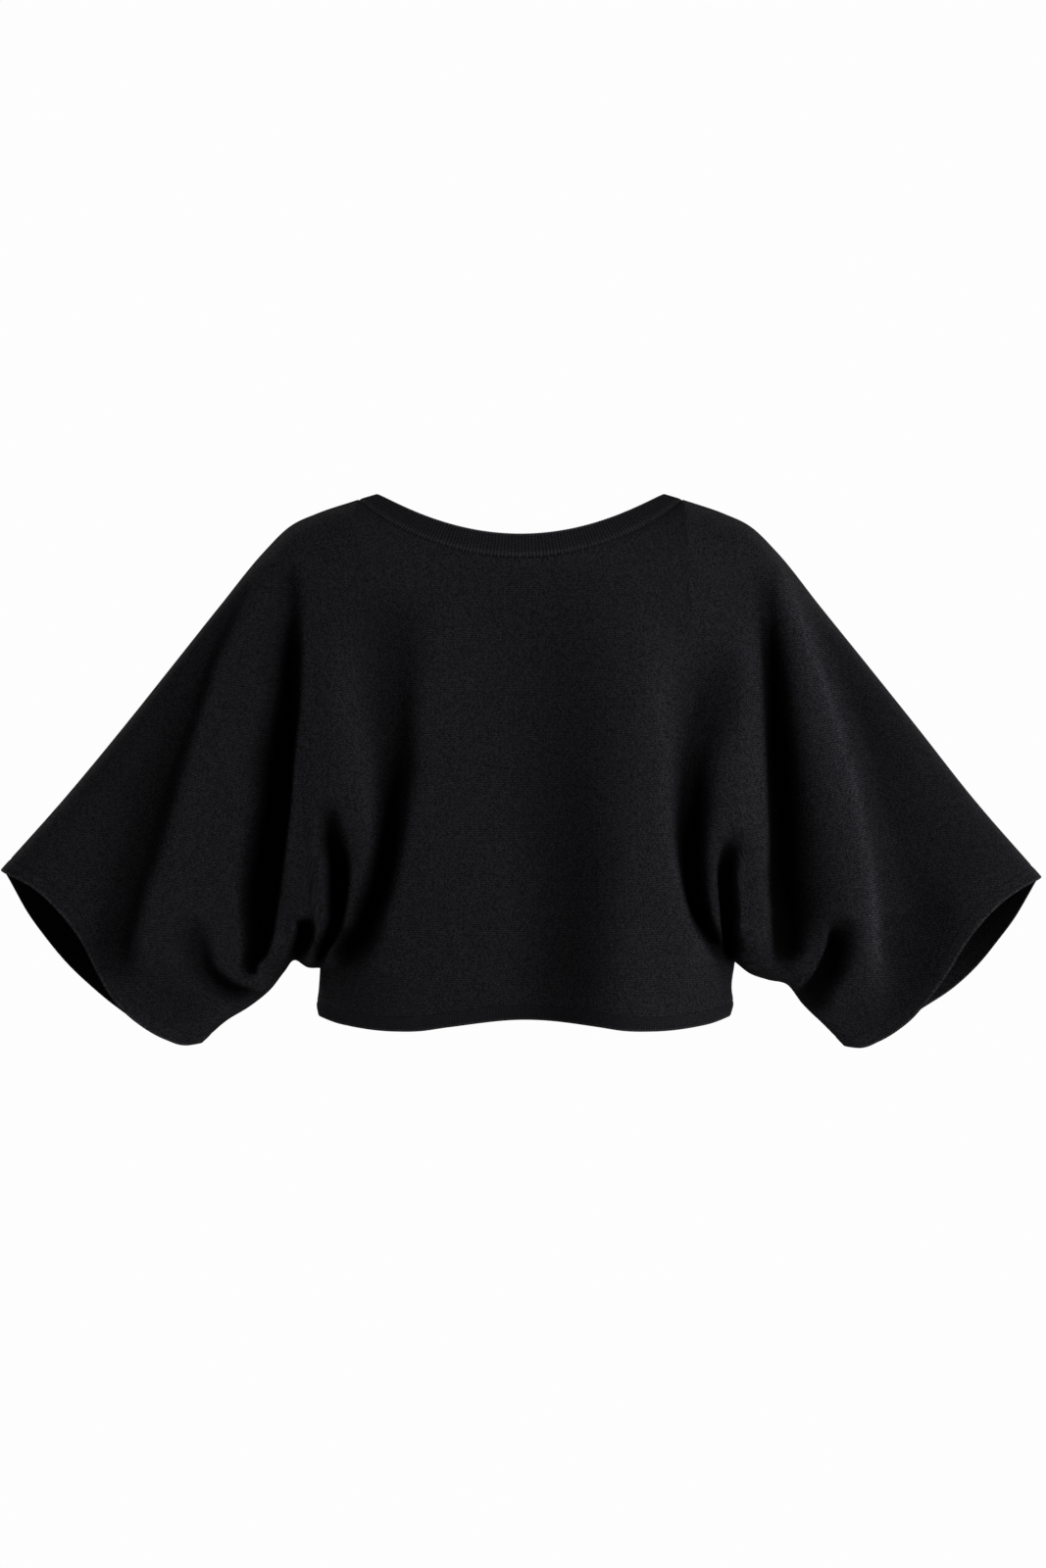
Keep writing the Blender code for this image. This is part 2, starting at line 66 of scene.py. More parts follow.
# The cut of the garment, shared by every piece
cut = {
    'span': 959.0,          # from cuff tip to cuff tip; the model's own width sets the scale
    'wall': 2.0,            # thickness of the knit
    'neckShare': .30, 'armShare': .42,
    'neckWide': 135.0,      # centre line to the highest point of the neck edge
    'neckSeamWide': 152.0,  # centre line to the end of the neck seam on the shoulder
    'neckSeamZ': -4.8,      # height of that end
    'neckFall': 1.7,        # how square the neck seam's drop in front and behind is
    'neckEven': .85,        # how evenly columns stand round the neck
    'bandHigh': 12.5,       # depth of the hem and cuff bands
    'armZ': {'right': -444, 'left': -438.4},    # underarm heights
    'waistFlow': 110.0,     # length over which the body eases into the waist
    'waistStart': 1.3,      # how soon from the side seam columns ease into the waist
    'restDepth': 7.0,       # least depth that a fold leaves
    'restSoft': 5.0,        # how softly a deep fold comes to rest there
    'hemHold': .7,          # share of a fold's depth that still shows at the hem
    'lowHold': 1.15,        # how much sooner folds than cloth rise from the underside
    'bowGrows': 1.6,        # powers with which the cuff's bow and the lean to the front
    'leanGrows': 1.2,       # grow along the sleeve
    'lean': (46, 26),       # lean at the top of the cuff, and how much less it is below
    'neckRings': {'front': {'seamY': 86, 'seamDrop': 60.2, 'topY': 80, 'topDrop': 43.3},
                  'back': {'seamY': 72, 'seamDrop': 48, 'topY': 66, 'topDrop': 36}},
    'waistY': {'front': 110, 'back': 90}, 'hemY': {'front': 109, 'back': 92},
    'shoulder': chart(
        'u right left zRight zLeft',
        (.30, 152, 152, -4.8, -4.8), (.36, 190, 190, -17.4, -17.6), (.42, 219.5, 219.5, -32.4, -33),
        (.46, 239.5, 239.5, -52.8, -53.4), (.55, 280.5, 280, -104, -105), (.65, 323.5, 324, -159.4, -160.8),
        (.75, 367, 368, -215.4, -217.2), (.87, 421, 420, -282.4, -285), (1.0, 479.5, 480.6, -350, -356.4)),
    'underside': {
        'right': chart('u x z', (.42, 188, -444), (.47, 199.5, -443.4), (.52, 211.5, -436.6), (.58, 221.5, -447.8),
                       (.66, 234, -464), (.75, 252, -478.8), (.86, 274, -492.4), (1.0, 297, -512.8)),
        'left': chart('u x z', (.42, 201, -438.4), (.50, 215, -449.2), (.58, 232, -455), (.66, 249.5, -459.4),
                      (.74, 263, -476.6), (.86, 283, -496.4), (1.0, 301.5, -515.5))},
    'waist': chart('h right left', (0, 188, 201), (.5, 189.5, 198), (.8, 191, 199.5), (1, 189.5, 197)),
    'fan': chart('u angle', (-.15, -27), (0, 0), (.15, 27), (.30, 54), (.36, 70), (.42, 90)),
    'hem': chart('angle front back', (-20, -491.5, -484), (0, -484.5, -481), (20, -491.2, -484),
                 (29, -495.4, -486), (38, -496.4, -488), (60, -492.6, -489), (75, -488.4, -487.5), (90, -487, -487)),
    'cuffBow': chart('t frontRight frontLeft backRight backLeft', (0, 0, 0, 0, 0), (.05, -4.8, -4.6, 6.8, 6.8),
                     (.13, -10.4, -9, 15.8, 15.2), (.27, -11.4, -10, 25.8, 24.4), (.40, -5.6, -4.8, 31.6, 30.2),
                     (.53, 7, 5, 33.2, 31), (.66, 17.6, 12.8, 31.8, 26.4), (.77, 20.4, 17.2, 27.4, 21.5),
                     (.89, 16.5, 14.6, 16, 14), (.96, 9.5, 8.9, 8, 8.4), (1, 0, 0, 0, 0)),
    'rounding': chart('u top bottom', (-.15, 68, 60), (0, 70, 60), (.15, 68, 60), (.30, 62, 56), (.42, 55, 42),
                      (.55, 48, 34), (.75, 44, 30), (1.0, 36, 38))}

millimetres = cut['span']/(cadHigh.x - cadLow.x)    # pattern millimetres in one metre of the frame
neckPoint = np.array([(cadLow.x + cadHigh.x)/2, 0, cadHigh.z])    # the pattern's zero in the frame

# depth of the cloth from the seam plane at four shares of the way down each column
sectionAt = np.array([-.1, .12, .35, .65, .90, 1.1])
sectionEnds = (.97, .98)    # shares of the first and the last value that stand for the two places past the seams
section = {
    'front': chart('u a b c d', (-.15, 97, 113, 113, 104), (0, 101, 117, 118, 112), (.15, 97, 113, 113, 104),
                   (.30, 77, 98, 98, 82), (.42, 60, 81, 84, 60), (.55, 52, 66, 70, 46), (.75, 48, 58, 54, 34),
                   (1.0, 38, 50, 48, 24)),
    'back': chart('u a b c d', (-.15, 86, 97, 92, 86), (0, 90, 100, 96, 92), (.15, 86, 97, 92, 86),
                  (.30, 69, 86, 82, 68), (.42, 54, 72, 74, 54), (.55, 48, 60, 62, 42), (.75, 44, 54, 50, 30),
                  (1.0, 38, 46, 42, 22))}

# A fold is a hollow along a path, or a crest where its depth is negative: x, z, depth, half width towards the centre
# line and away from it, and how square those two sides are, 1 for a long slope, 2 or nothing for a soft roll, 6 for a
# wall that the next ridge hangs over
# Through the fold mark the same depth also paints shade into each hollow and a highlight onto each crest
frontFolds = {
    'bodyRight': ((-124, -92, 0, 30, 36), (-121, -119, 5, 30, 36), (-113, -155, 10, 20, 30), (-112, -200, 15, 14, 26),
        (-113, -245, 24, 14, 17), (-117, -289, 40, 11, 11, 2, 2.2), (-121, -325, 55, 10, 9.6, 2.6, 2.2),
        (-128.5, -361, 58, 10, 9.6, 2.8, 2), (-138.5, -388, 54, 10.5, 9.4, 2.6, 1.9), (-147, -406, 48, 12.5, 8.6),
        (-161, -424, 38, 15, 10, 1.7, 2), (-170, -441, 15, 18, 10), (-166, -458, 8, 34, 16), (-158, -486, 6, 38, 26)),
    'armpitRight': ((-178, -279, 0, 10, 10), (-178, -289, 1, 9, 9, 2.4, 2), (-174, -307, 15, 8, 10, 2.6, 2),
        (-170, -325, 33, 8, 10, 2.8, 2), (-166.5, -343, 54, 8, 8.8, 4, 2.4), (-166, -361, 58, 7.5, 9, 5, 2.4),
        (-168, -388, 56, 5.5, 7.5, 4, 2.6), (-173, -406, 46, 5, 6, 3, 2.4), (-184, -424, 40, 5, 5, 3, 2.4),
        (-189, -438, 14, 4, 4)),
    'sleeveRight': ((-216, -65, 0, 10, 12), (-214, -83, 6, 10, 14, 2, 1.6), (-212.5, -119, 14, 9, 14, 2.4, 1.4),
        (-211, -155, 34, 8.6, 14, 3.6, 1.35), (-213, -200, 51, 9.4, 14, 4.6, 1.4),
        (-219.5, -245, 68, 10.6, 15.5, 5.2, 1.55), (-223, -289, 74, 10.8, 16, 6, 1.9),
        (-228, -325, 74, 11, 18, 6, 2.5), (-234, -361, 74, 11.5, 18.5, 6, 3.2), (-238, -388, 74, 11, 17, 6, 4.5),
        (-240, -406, 70, 9.6, 15, 5, 5), (-245, -424, 62, 9, 10, 4, 5), (-251, -438, 52, 6, 6, 4, 4),
        (-250, -450, 0, 5, 5, 3, 3)),
    'outerRight': ((-234, -65, 0, 6, 8, 2, 1.4), (-248, -83, 4, 6, 10, 2.4, 1.4), (-271, -119, 13, 9, 16, 2.6, 1.3),
        (-290, -155, 16, 10, 22, 2.6, 1.2), (-306, -200, 17, 11, 30, 2.6, 1.2), (-321, -245, 19, 12, 32, 2.6, 1.2),
        (-335, -289, 22, 14, 30, 2.6, 1.2), (-346, -325, 22, 15, 26, 2.6, 1.3), (-358, -361, 22, 15, 26, 2.6, 1.3),
        (-364, -388, 22, 14, 24, 2.6, 1.4), (-370, -410, 21, 14, 24, 2.4, 1.5), (-371, -428, 16, 14, 28, 2.2, 1.6),
        (-372, -445, 6, 14, 28), (-374, -460, 0, 14, 28)),
    'lowRight': ((-302, -392, 0, 10, 14), (-300, -406, 7, 10, 14), (-297, -424, 13, 9, 14, 2.6, 2),
        (-291, -442, 17, 8, 13, 3.4, 2), (-281, -453, 21, 7, 12, 4, 2), (-268, -461, 22, 6, 11, 4, 2),
        (-250, -467, 12, 6, 9, 3, 2)),
    'pocketRight': ((-200, -395, 0, 7, 7, 3, 3), (-199, -403, 42, 7, 7, 4, 4), (-200, -411, 46, 7.5, 7, 4, 4),
        (-206, -423, 36, 7, 6, 3, 4), (-213, -436, 15, 7, 8, 2, 3), (-226, -447, 7, 8, 12), (-238, -456, 0, 8, 12)),
    'cuffRight': ((-404, -396, 0, 24, 24), (-384, -426, 3, 24, 26), (-358, -456, 6, 26, 28), (-320, -476, 7, 24, 28),
        (-285, -488, 3, 24, 28)),
    'bodyLeft': ((192, -128, 0, 30, 28), (189, -155, 5, 30, 28), (174, -200, 14, 24, 22),
        (161, -245, 22, 15.5, 14.5, 2, 1.8), (157, -289, 39, 13.5, 12.5, 2.4, 1.7),
        (155.4, -325, 54, 12, 9.4, 3.2, 1.8), (157.5, -361, 58, 9, 8.4, 4, 2), (165, -388, 56, 9, 6.4, 4, 2.6),
        (173, -406, 35, 8.5, 5.2, 3.4, 2.4), (185, -424, 28, 8, 6, 2.6, 2.4), (193, -439, 10, 7, 6)),
    'armpitLeft': ((195, -312, 0, 7, 9, 2.4, 2), (192, -325, 8, 7, 10, 3, 2.2), (188.5, -343, 32, 6.5, 8, 4, 2.4),
        (187.6, -361, 50, 6, 7.5, 5, 2.4), (190, -388, 56, 5.5, 7.5, 5, 2.4), (191, -406, 50, 4.8, 7, 4, 2.6),
        (195, -424, 42, 6, 7, 3, 2.4), (196, -437, 18, 5, 6)),
    'sleeveLeft': ((225, -68, 0, 9, 14), (226, -83, 6, 8, 9), (228.5, -119, 16, 7.5, 9.5, 2.4, 1.6),
        (231.5, -155, 36, 8.4, 10, 2.8, 1.35), (235.5, -200, 54, 10, 10, 3, 1.15),
        (238, -245, 66, 11, 11.5, 3.6, 1.08), (241, -289, 66, 12, 13.5, 4, 1.08),
        (242, -325, 64, 11.5, 16, 4.4, 1.05), (243, -361, 62, 12, 17, 4, 1.05), (246, -388, 60, 12, 17, 4, 1.2),
        (246, -406, 56, 11.5, 14.5, 4, 1.5), (244.4, -424, 46, 9, 13, 3, 2.4), (242, -437, 12, 7, 8)),
    'crestLeft': ((236, -60, -2, 14, 8, 2, 2.4), (241, -83, -6, 14, 8, 1.6, 2.4), (253, -119, -9, 16, 9, 1.4, 2.4),
        (266, -155, -10, 18, 9, 1.3, 2.4), (282, -200, -11, 21, 9, 1.2, 2.4), (295, -245, -11, 23, 9, 1.2, 2.4),
        (305, -289, -11, 23, 9, 1.2, 2.4), (311.5, -325, -12, 24, 9, 1.2, 2.4), (317, -361, -13, 23, 10, 1.2, 2.4),
        (319.5, -388, -15, 21, 10, 1.2, 2.4), (322, -424, -14, 17, 12, 1.5, 2.4), (327, -460, -8, 18, 16),
        (334, -486, -3, 18, 16)),
    'ridgeLeft': ((205, -110, 0, 16, 12), (207, -155, -6, 16, 12, 2, 2.4), (208, -200, -4.5, 18, 13, 2, 2.6),
        (211, -245, -5, 18, 13, 2, 3), (214, -289, -5.5, 18, 12, 2, 3), (217, -325, -6, 14, 10, 2, 3),
        (220, -361, -5, 14, 8, 2, 3), (223, -400, -5, 12, 8), (224, -440, 0, 12, 8)),
    'ridgeRight': ((-160, -110, 0, 20, 16), (-164, -155, -3, 20, 16), (-160, -200, -4, 20, 20),
        (-150, -245, -5, 16, 22), (-144, -289, -4, 10, 20), (-141, -325, -3, 8, 14), (-146, -361, 0, 8, 12)),
    'outerLeft': ((264, -75, 0, 8, 12, 2, 1.4), (279, -119, 4, 9, 26, 2.4, 1.4), (295, -155, 8, 10, 40, 2.6, 1.4),
        (313, -200, 10, 11, 50, 2.6, 1.3), (329, -245, 9, 12, 56, 2.6, 1.3), (339, -289, 9, 13, 60, 2.4, 1.3),
        (352, -325, 9, 16, 60, 2.2, 1.4), (364, -361, 10, 22, 56, 2, 1.6), (376, -388, 14, 30, 32),
        (374, -412, 13, 32, 26), (368, -436, 12, 32, 22), (358, -460, 9, 28, 20), (344, -482, 6, 28, 20)),
    'pocketLeft': ((292, -392, 0, 8, 10), (293, -406, 16, 8, 11, 3, 2.2), (291, -415, 36, 6.5, 11, 4, 2.4),
        (289, -424, 50, 6, 11, 4, 2.4), (282, -442, 64, 5, 12.5, 5, 2.6), (276, -455, 62, 7, 12, 4, 2.6),
        (270, -470, 46, 12, 12, 3, 2.4)),
    'brinkLeft': ((130, -110, 0, 24, 20), (127, -155, -3, 22, 20), (127, -200, -5, 20, 18), (130, -245, -5, 18, 14),
        (134, -289, -5, 18, 10, 2, 2.4), (138, -325, -5, 18, 8, 2, 3), (144, -361, -5, 18, 7, 2, 3),
        (151, -388, -5, 18, 7, 2, 3), (159, -406, -5, 18, 7, 2, 3), (170, -432, -5, 20, 8, 2, 2.6),
        (180, -455, -4, 22, 10), (186, -486, -3, 22, 12)),
    'chest': ((10, -60, 4, 80, 60), (36, -119, 6, 66, 44), (44, -200, 9, 60, 40), (46, -289, 13, 56, 36),
        (46, -361, 16, 48, 34), (44, -425, 18, 46, 34), (40, -486, 20, 48, 36))}
backFolds = {
    'bodyRight': ((-112, -130, 0, 40, 46), (-116, -220, 20, 30, 38), (-122, -300, 40, 24, 30, 2.4, 2.4),
        (-130, -360, 44, 20, 24, 2.6, 2.6), (-148, -405, 34, 16, 17, 2.4, 2.4), (-176, -432, 16, 12, 12)),
    'sleeveRight': ((-222, -66, 0, 24, 34, 2.4, 2), (-220, -150, 34, 18, 36, 3, 2), (-226, -240, 50, 15, 36, 4, 2.2),
        (-234, -330, 54, 14, 34, 4, 2.2), (-240, -400, 44, 14, 30, 4, 2.4), (-244, -436, 0, 12, 22, 3, 2)),
    'outerRight': ((-252, -80, 0, 26, 24), (-300, -200, 12, 38, 36), (-338, -320, 16, 42, 46),
        (-360, -410, 0, 32, 40)),
    'bodyLeft': ((150, -140, 0, 42, 44), (148, -220, 18, 28, 38), (150, -300, 38, 20, 30, 2.4, 2.4),
        (158, -360, 46, 16, 22, 2.6, 2.6), (176, -408, 34, 14, 16, 2.4, 2.4), (199, -436, 14, 10, 10)),
    'sleeveLeft': ((236, -70, 0, 24, 34, 2.4, 2), (234, -160, 36, 16, 36, 3, 2), (240, -260, 52, 14, 36, 4, 2.2),
        (247, -350, 52, 14, 32, 4, 2.2), (252, -434, 0, 14, 24, 3, 2)),
    'outerLeft': ((268, -96, 0, 24, 34), (322, -200, 10, 34, 50), (358, -310, 14, 42, 60), (378, -400, 0, 40, 50)),
    'armpitRight': ((-170, -290, 0, 13, 15), (-168, -340, 12, 11, 14, 2.4, 2), (-171, -382, 22, 8, 11, 2.6, 2.2),
        (-181, -414, 20, 6, 8, 2.4, 2.2), (-190, -436, 6, 5, 6)),
    'lowRight': ((-316, -352, 0, 16, 22), (-309, -400, 9, 14, 22), (-292, -438, 15, 10, 18, 2.6, 2),
        (-268, -461, 11, 8, 13, 2.4, 2)),
    'armpitLeft': ((190, -300, 0, 12, 15), (189, -345, 11, 10, 14, 2.4, 2), (192, -386, 20, 8, 10, 2.6, 2.2),
        (198, -418, 16, 6, 7, 2.4, 2.2), (202, -436, 4, 5, 6)),
    'lowLeft': ((326, -360, 0, 18, 22), (316, -404, 10, 15, 22), (298, -440, 16, 10, 18, 2.6, 2),
        (274, -462, 11, 8, 13, 2.4, 2)),
    'brinkRight': ((-84, -190, 0, 30, 22), (-90, -290, -5, 28, 16, 2, 2.4), (-100, -370, -5, 26, 12, 2, 3),
        (-124, -424, -4, 24, 12, 2, 2.6), (-150, -462, 0, 24, 14)),
    'brinkLeft': ((110, -200, 0, 30, 22), (116, -290, -5, 28, 14, 2, 2.4), (128, -370, -5, 24, 12, 2, 3),
        (154, -424, -4, 24, 12, 2, 2.6), (176, -462, 0, 24, 14)),
    'spine': ((-20, -60, 0, 60, 60), (-16, -200, 5, 60, 60), (-10, -350, 7, 60, 60), (-8, -490, 6, 60, 60))}
foldNames = 'x z depth inner outer innerEdge outerEdge'
folds = {face: {name: chart(foldNames, *[(*point, 2, 2)[:7] for point in points]) for name, points in table.items()}
         for face, table in (('front', frontFolds), ('back', backFolds))}
foldPathSteps = 90
foldReach = 320    # millimetres from a fold's middle past which it isn't looked for


# A smooth curve through the points (xs, ys), in cubics with its slopes at their ends. At each x, ys has one value or
# one for each place of `at`
def curve(xs, ys, at):
    slopes = np.gradient(ys, xs, axis=0)
    at = np.clip(at, xs[0], xs[-1])
    i = np.clip(np.searchsorted(xs, at, side='right') - 1, 0, len(xs) - 2)
    step = xs[i + 1] - xs[i]
    s = (at - xs[i])/step
    a, b, slopeA, slopeB = [values[j] if ys.ndim == 1 else np.take_along_axis(values, j[None], 0)[0]
                            for values in (ys, slopes) for j in (i, i + 1)]
    return ((2*s**3 - 3*s**2 + 1)*a + (s**3 - 2*s**2 + s)*step*slopeA
            + (3*s**2 - 2*s**3)*b + (s**3 - s**2)*step*slopeB)


def read(rows, key, column, at):
    return curve(rows[key], rows[column], at)


# A smooth step: three x squared less two x cubed
def ease(x):
    x = np.clip(x, 0, 1)
    return x*x*(3 - 2*x)


# Rises from 0 to 1 as a quarter of a circle
def quarter(x):
    return np.sqrt(1 - (1 - np.clip(x, 0, 1))**2)


# Falls from 1 as e to the power of minus the square of x over `wide`
def bell(x, wide):
    return np.exp(-(x/wide)**2)


def bySide(u, right, left):
    return np.where(u < 0, right, left)


def readSides(rows, key, names, u, at):
    return bySide(u, *[read(rows, key, name, at) for name in names.split()])


def unit(vectors):
    return vectors/np.maximum(np.linalg.norm(vectors, axis=-1, keepdims=True), 1e-9)


# Angle round the neck of column u: a share of it grows evenly, the rest as an arc sine
def neckAngle(u):
    k = np.clip(u/cut['neckShare'], -1, 1)
    return np.radians(90)*k*(1 - cut['neckEven']) + np.arcsin(k)*cut['neckEven']


# The seam under the neck band: half an ellipse from above, dropping with a power of the cosine. y is depth from the
# seam plane
def neckSeam(phi, face):
    ring = cut['neckRings'][face]
    return np.stack([cut['neckSeamWide']*np.sin(phi), ring['seamY']*np.cos(phi),
                     cut['neckSeamZ'] - ring['seamDrop']*np.abs(np.cos(phi))**cut['neckFall']], -1)


# The upper edge of the neck band: the same, narrower, dropping with the squared cosine
def neckEdge(phi, face):
    ring = cut['neckRings'][face]
    return np.stack([cut['neckWide']*np.sin(phi), ring['topY']*np.cos(phi), -ring['topDrop']*np.cos(phi)**2], -1)


# Depth from the seam plane becomes -Y in front and +Y behind
facing = {'front': -1, 'back': 1}


def turned(vectors, face):
    return vectors*np.array([1, facing[face], 1])


def armLine(u):
    mean = (cut['armZ']['right'] + cut['armZ']['left'])/2
    return mean + (bySide(u, cut['armZ']['right'], cut['armZ']['left']) - mean)*ease(np.abs(u)/cut['armShare'])


def hemEdge(u, face):
    return read(cut['hem'], 'angle', face, read(cut['fan'], 'u', 'angle', np.abs(u)))


# Both ends of the columns u: on the neck seam or shoulder line above, on the underarm line or underside below
def rails(u, face):
    a = np.abs(u)
    onNeck, onBody = a <= cut['neckShare'], a <= cut['armShare']
    seam = neckSeam(neckAngle(a), face)
    line = [readSides(cut['shoulder'], 'u', 'right left', u, a), np.zeros(a.shape),
            readSides(cut['shoulder'], 'u', 'zRight zLeft', u, a)]
    top = np.stack([np.where(onNeck, seam[..., i], line[i]) for i in range(3)], -1)
    angle = np.radians(read(cut['fan'], 'u', 'angle', a))
    x, z = [bySide(u, *[read(cut['underside'][side], 'u', name, a) for side in ('right', 'left')]) for name in 'xz']
    low = np.stack([np.where(onBody, bySide(u, cut['waist']['right'][0], cut['waist']['left'][0])*np.sin(angle), x),
                    np.where(onBody, np.maximum(cut['waistY'][face]*np.cos(angle), 0), 0),
                    np.where(onBody, armLine(u), z)], -1)
    return top, low


# The section chart read at column a and share t of the way down it, as a curve through its four values
def sectionDepth(a, t, face):
    columns = [read(section[face], 'u', name, a) for name in 'abcd']
    return curve(sectionAt, np.stack([columns[0]*sectionEnds[0]] + columns + [columns[3]*sectionEnds[1]]), t)


# How far the folds press the cloth in at (x, z): across its path each is exp(-(distance/width)^edge), with the width
# and the edge power of the side that the point lies on
def foldDepth(x, z, face):
    flat = np.stack([x.ravel(), z.ravel()], -1)
    total = np.zeros(len(flat))
    for fold in folds[face].values():
        k = np.arange(len(fold['x']), dtype=float)
        at = np.linspace(0, k[-1], foldPathSteps)
        along = {name: curve(k, fold[name], at) for name in foldNames.split()}
        path = np.stack([along['x'], along['z']], -1)
        near = np.abs(flat - path.mean(0)).max(1) < foldReach
        spot = flat[near]
        nearest = ((spot[:, None] - path)**2).sum(-1).argmin(1)
        here = np.gradient(path, axis=0)[nearest]
        past = ((spot - path[nearest])*here).sum(-1)/(here**2).sum(-1)
        place = np.clip(nearest + np.clip(past, -1, 1), 0, foldPathSteps - 1)
        pathX, pathZ, deep, inner, outer, innerEdge, outerEdge = [
            np.interp(place, np.arange(foldPathSteps), values) for values in along.values()]
        apart = spot - np.stack([pathX, pathZ], -1)
        away = np.linalg.norm(apart, axis=-1)
        centre = -np.sign(fold['x'][0])*(apart[:, 1]*here[:, 0] - apart[:, 0]*here[:, 1])
        centre = centre/(np.linalg.norm(here, axis=-1)*np.maximum(away, 1e-6))
        width = inner*(1 + centre)/2 + outer*(1 - centre)/2
        power = innerEdge*(1 + centre)/2 + outerEdge*(1 - centre)/2
        sign = np.sign(fold['depth'].sum())
        total[near] += sign*np.maximum(sign*deep, 0)*np.exp(-(away/width)**power)
    return total.reshape(x.shape)


# Points of the outside of the cloth at u and v, the same without its folds, and how deep in a fold each lies. A
# column is a straight run between its two rails, bowed at the cuff; its depth rises from both seams as quarter
# circles to the section chart, less the folds, and the sleeves lean forward to the cuffs
def clothAround(u, v, face):
    u, v = np.broadcast_arrays(np.asarray(u, float), np.asarray(v, float))
    a, t = np.abs(u), np.clip(v, 0, 1)
    top, low = rails(u, face)
    run = low - top
    length = np.hypot(run[..., 0], run[..., 2])
    away = np.clip((a - cut['armShare'])/(1 - cut['armShare']), 0, 1)
    push = readSides(cut['cuffBow'], 't', f'{face}Right {face}Left', u, t)*away**cut['bowGrows']/length
    x = bySide(u, -1, 1)*(top[..., 0] + run[..., 0]*t - push*run[..., 2])
    z = top[..., 2] + run[..., 2]*t + push*run[..., 0]
    nearTop = quarter(t*length/read(cut['rounding'], 'u', 'top', a))
    nearLow = quarter((1 - t)*length/read(cut['rounding'], 'u', 'bottom', a))
    openTop = np.clip(top[..., 1]/cut['neckRings'][face]['seamY'], 0, 1)
    flowing = ease(cut['waistStart']*low[..., 1]/cut['waistY'][face])
    y = top[..., 1] + (sectionDepth(a, t, face) - top[..., 1])*nearTop**(1 + openTop)
    easing = flowing*ease((1 - t)*length/cut['waistFlow'])
    y = low[..., 1] + (y - low[..., 1])*(easing + (1 - flowing)*nearLow)
    h = np.clip(v - 1, 0, 1)
    below = v > 1
    angle = np.radians(read(cut['fan'], 'u', 'angle', a))
    half = readSides(cut['waist'], 'h', 'right left', u, h)
    x = np.where(below, bySide(u, -1, 1)*half*np.sin(angle), x)
    z = np.where(below, armLine(u) + (hemEdge(u, face) - armLine(u))*h, z)
    hemOut = cut['hemY'][face] - cut['waistY'][face]
    y = np.where(below, np.maximum((cut['waistY'][face] + hemOut*h)*np.cos(angle), 0), y)
    hold = nearTop*(flowing + (1 - flowing)*np.minimum(nearLow*cut['lowHold'], 1))
    hold = np.where(below, flowing*(1 - (1 - cut['hemHold'])*ease(h)), hold)
    drop = foldDepth(x, z, face)*hold
    least = np.minimum(y, cut['restDepth']*np.where(below, 1, nearTop*nearLow))
    soft = cut['restSoft']
    pressed = np.minimum(np.logaddexp(0, (y - drop - least)/soft)*soft, y - least)
    folded = np.where(drop > 0, least + pressed, y - drop)
    lean = away**cut['leanGrows']*(cut['lean'][0] - cut['lean'][1]*t)
    return (*[np.stack([x, depth*facing[face] - lean, z], -1) for depth in (folded, y)], drop)


def clothAt(u, v, face):
    return clothAround(u, v, face)[0]


# How finely the knit is laid out, and the joins between the pieces
layout = {'columns': {'front': 132, 'back': 96}, 'rows': {'front': 150, 'back': 104}, 'waistRows': 14,
          'bandRows': 13, 'rimSteps': 3, 'ringPoints': 400, 'cuffPoints': 300}
join = {'neck': {'deep': .5, 'dark': 1}, 'hem': {'deep': .35, 'dark': 1}, 'cuff': {'deep': .35, 'dark': 1.5},
        'long': {'deep': .5, 'dark': 1},  # groove along each seam, and the painted shadow in it, as a fold of that depth
        'wide': 1.6, 'darkWide': 1.1,
        'sideHighlight': .7, 'sideWide': 13,  # painted highlight on the side seams below the underarms: strength and width
        'rimHighlight': .8, 'rimWide': .9}   # and the painted highlight on the free edges of the bands
columnShare = chart('s u', (0, 0), (.14, .18), (.74, .62), (1, 1))
lastColumns = (.986, .990, .993, .9955, .9975, .999, 1)     # close together at the cuff seam
lastRows = (.90, .94, .965, .982, .993, 1)                  # and at the hem seam
leastGap = .003                                             # between those columns and the ones before them
farAway = 1e3                                               # millimetres, for a place that has no such seam


# Column shares from cuff to cuff, with the neck ends and the underarms among them
def columnShares(face):
    u = read(columnShare, 's', 'u', np.linspace(0, 1, layout['columns'][face]))
    u = np.concatenate([u[u < lastColumns[0] - leastGap], lastColumns])
    for value in (cut['neckShare'], cut['armShare']):
        u[np.abs(u - value).argmin()] = value
    u[0] = 0
    return np.concatenate([-u[:0:-1], u])


# Shares from 0 to 1 whose steps grow with the distance from both ends, where the cloth turns to the seam
def rowShares(count):
    s = np.linspace(0, 1, count)
    near = np.minimum(s, 1 - s)
    edge, start = .06, .107
    t = np.where(near < start, edge*(near/start)**2, edge + (near - start)*2*edge/start)
    t = np.where(s > .5, 1 - t, t)
    t[0], t[-1] = 0, 1
    return t


# Share u at which the cuff band begins: its depth measured back from the cuff edge along the row
def cuffSeam(t, side, face):
    step = .02
    edge = clothAt(side, t, face) - clothAt(side*(1 - step), t, face)
    return 1 - cut['bandHigh']/np.linalg.norm(edge, axis=-1)*step


def hemSeam(u, face):
    return 1 - cut['bandHigh']/(armLine(u) - hemEdge(u, face))


# Adds each vector to the sum at its place
def addAt(sums, places, vectors):
    for axis in range(3):
        sums[:, axis] += np.bincount(places, vectors[:, axis], len(sums))


# Sum at each point of the cross products of the diagonals of the quads round it
def pointNormals(points, quads):
    cross = np.cross(points[quads[:, 2]] - points[quads[:, 0]], points[quads[:, 3]] - points[quads[:, 1]])
    normals = np.zeros(points.shape)
    for corner in range(4):
        addAt(normals, quads[:, corner], cross)
    return normals


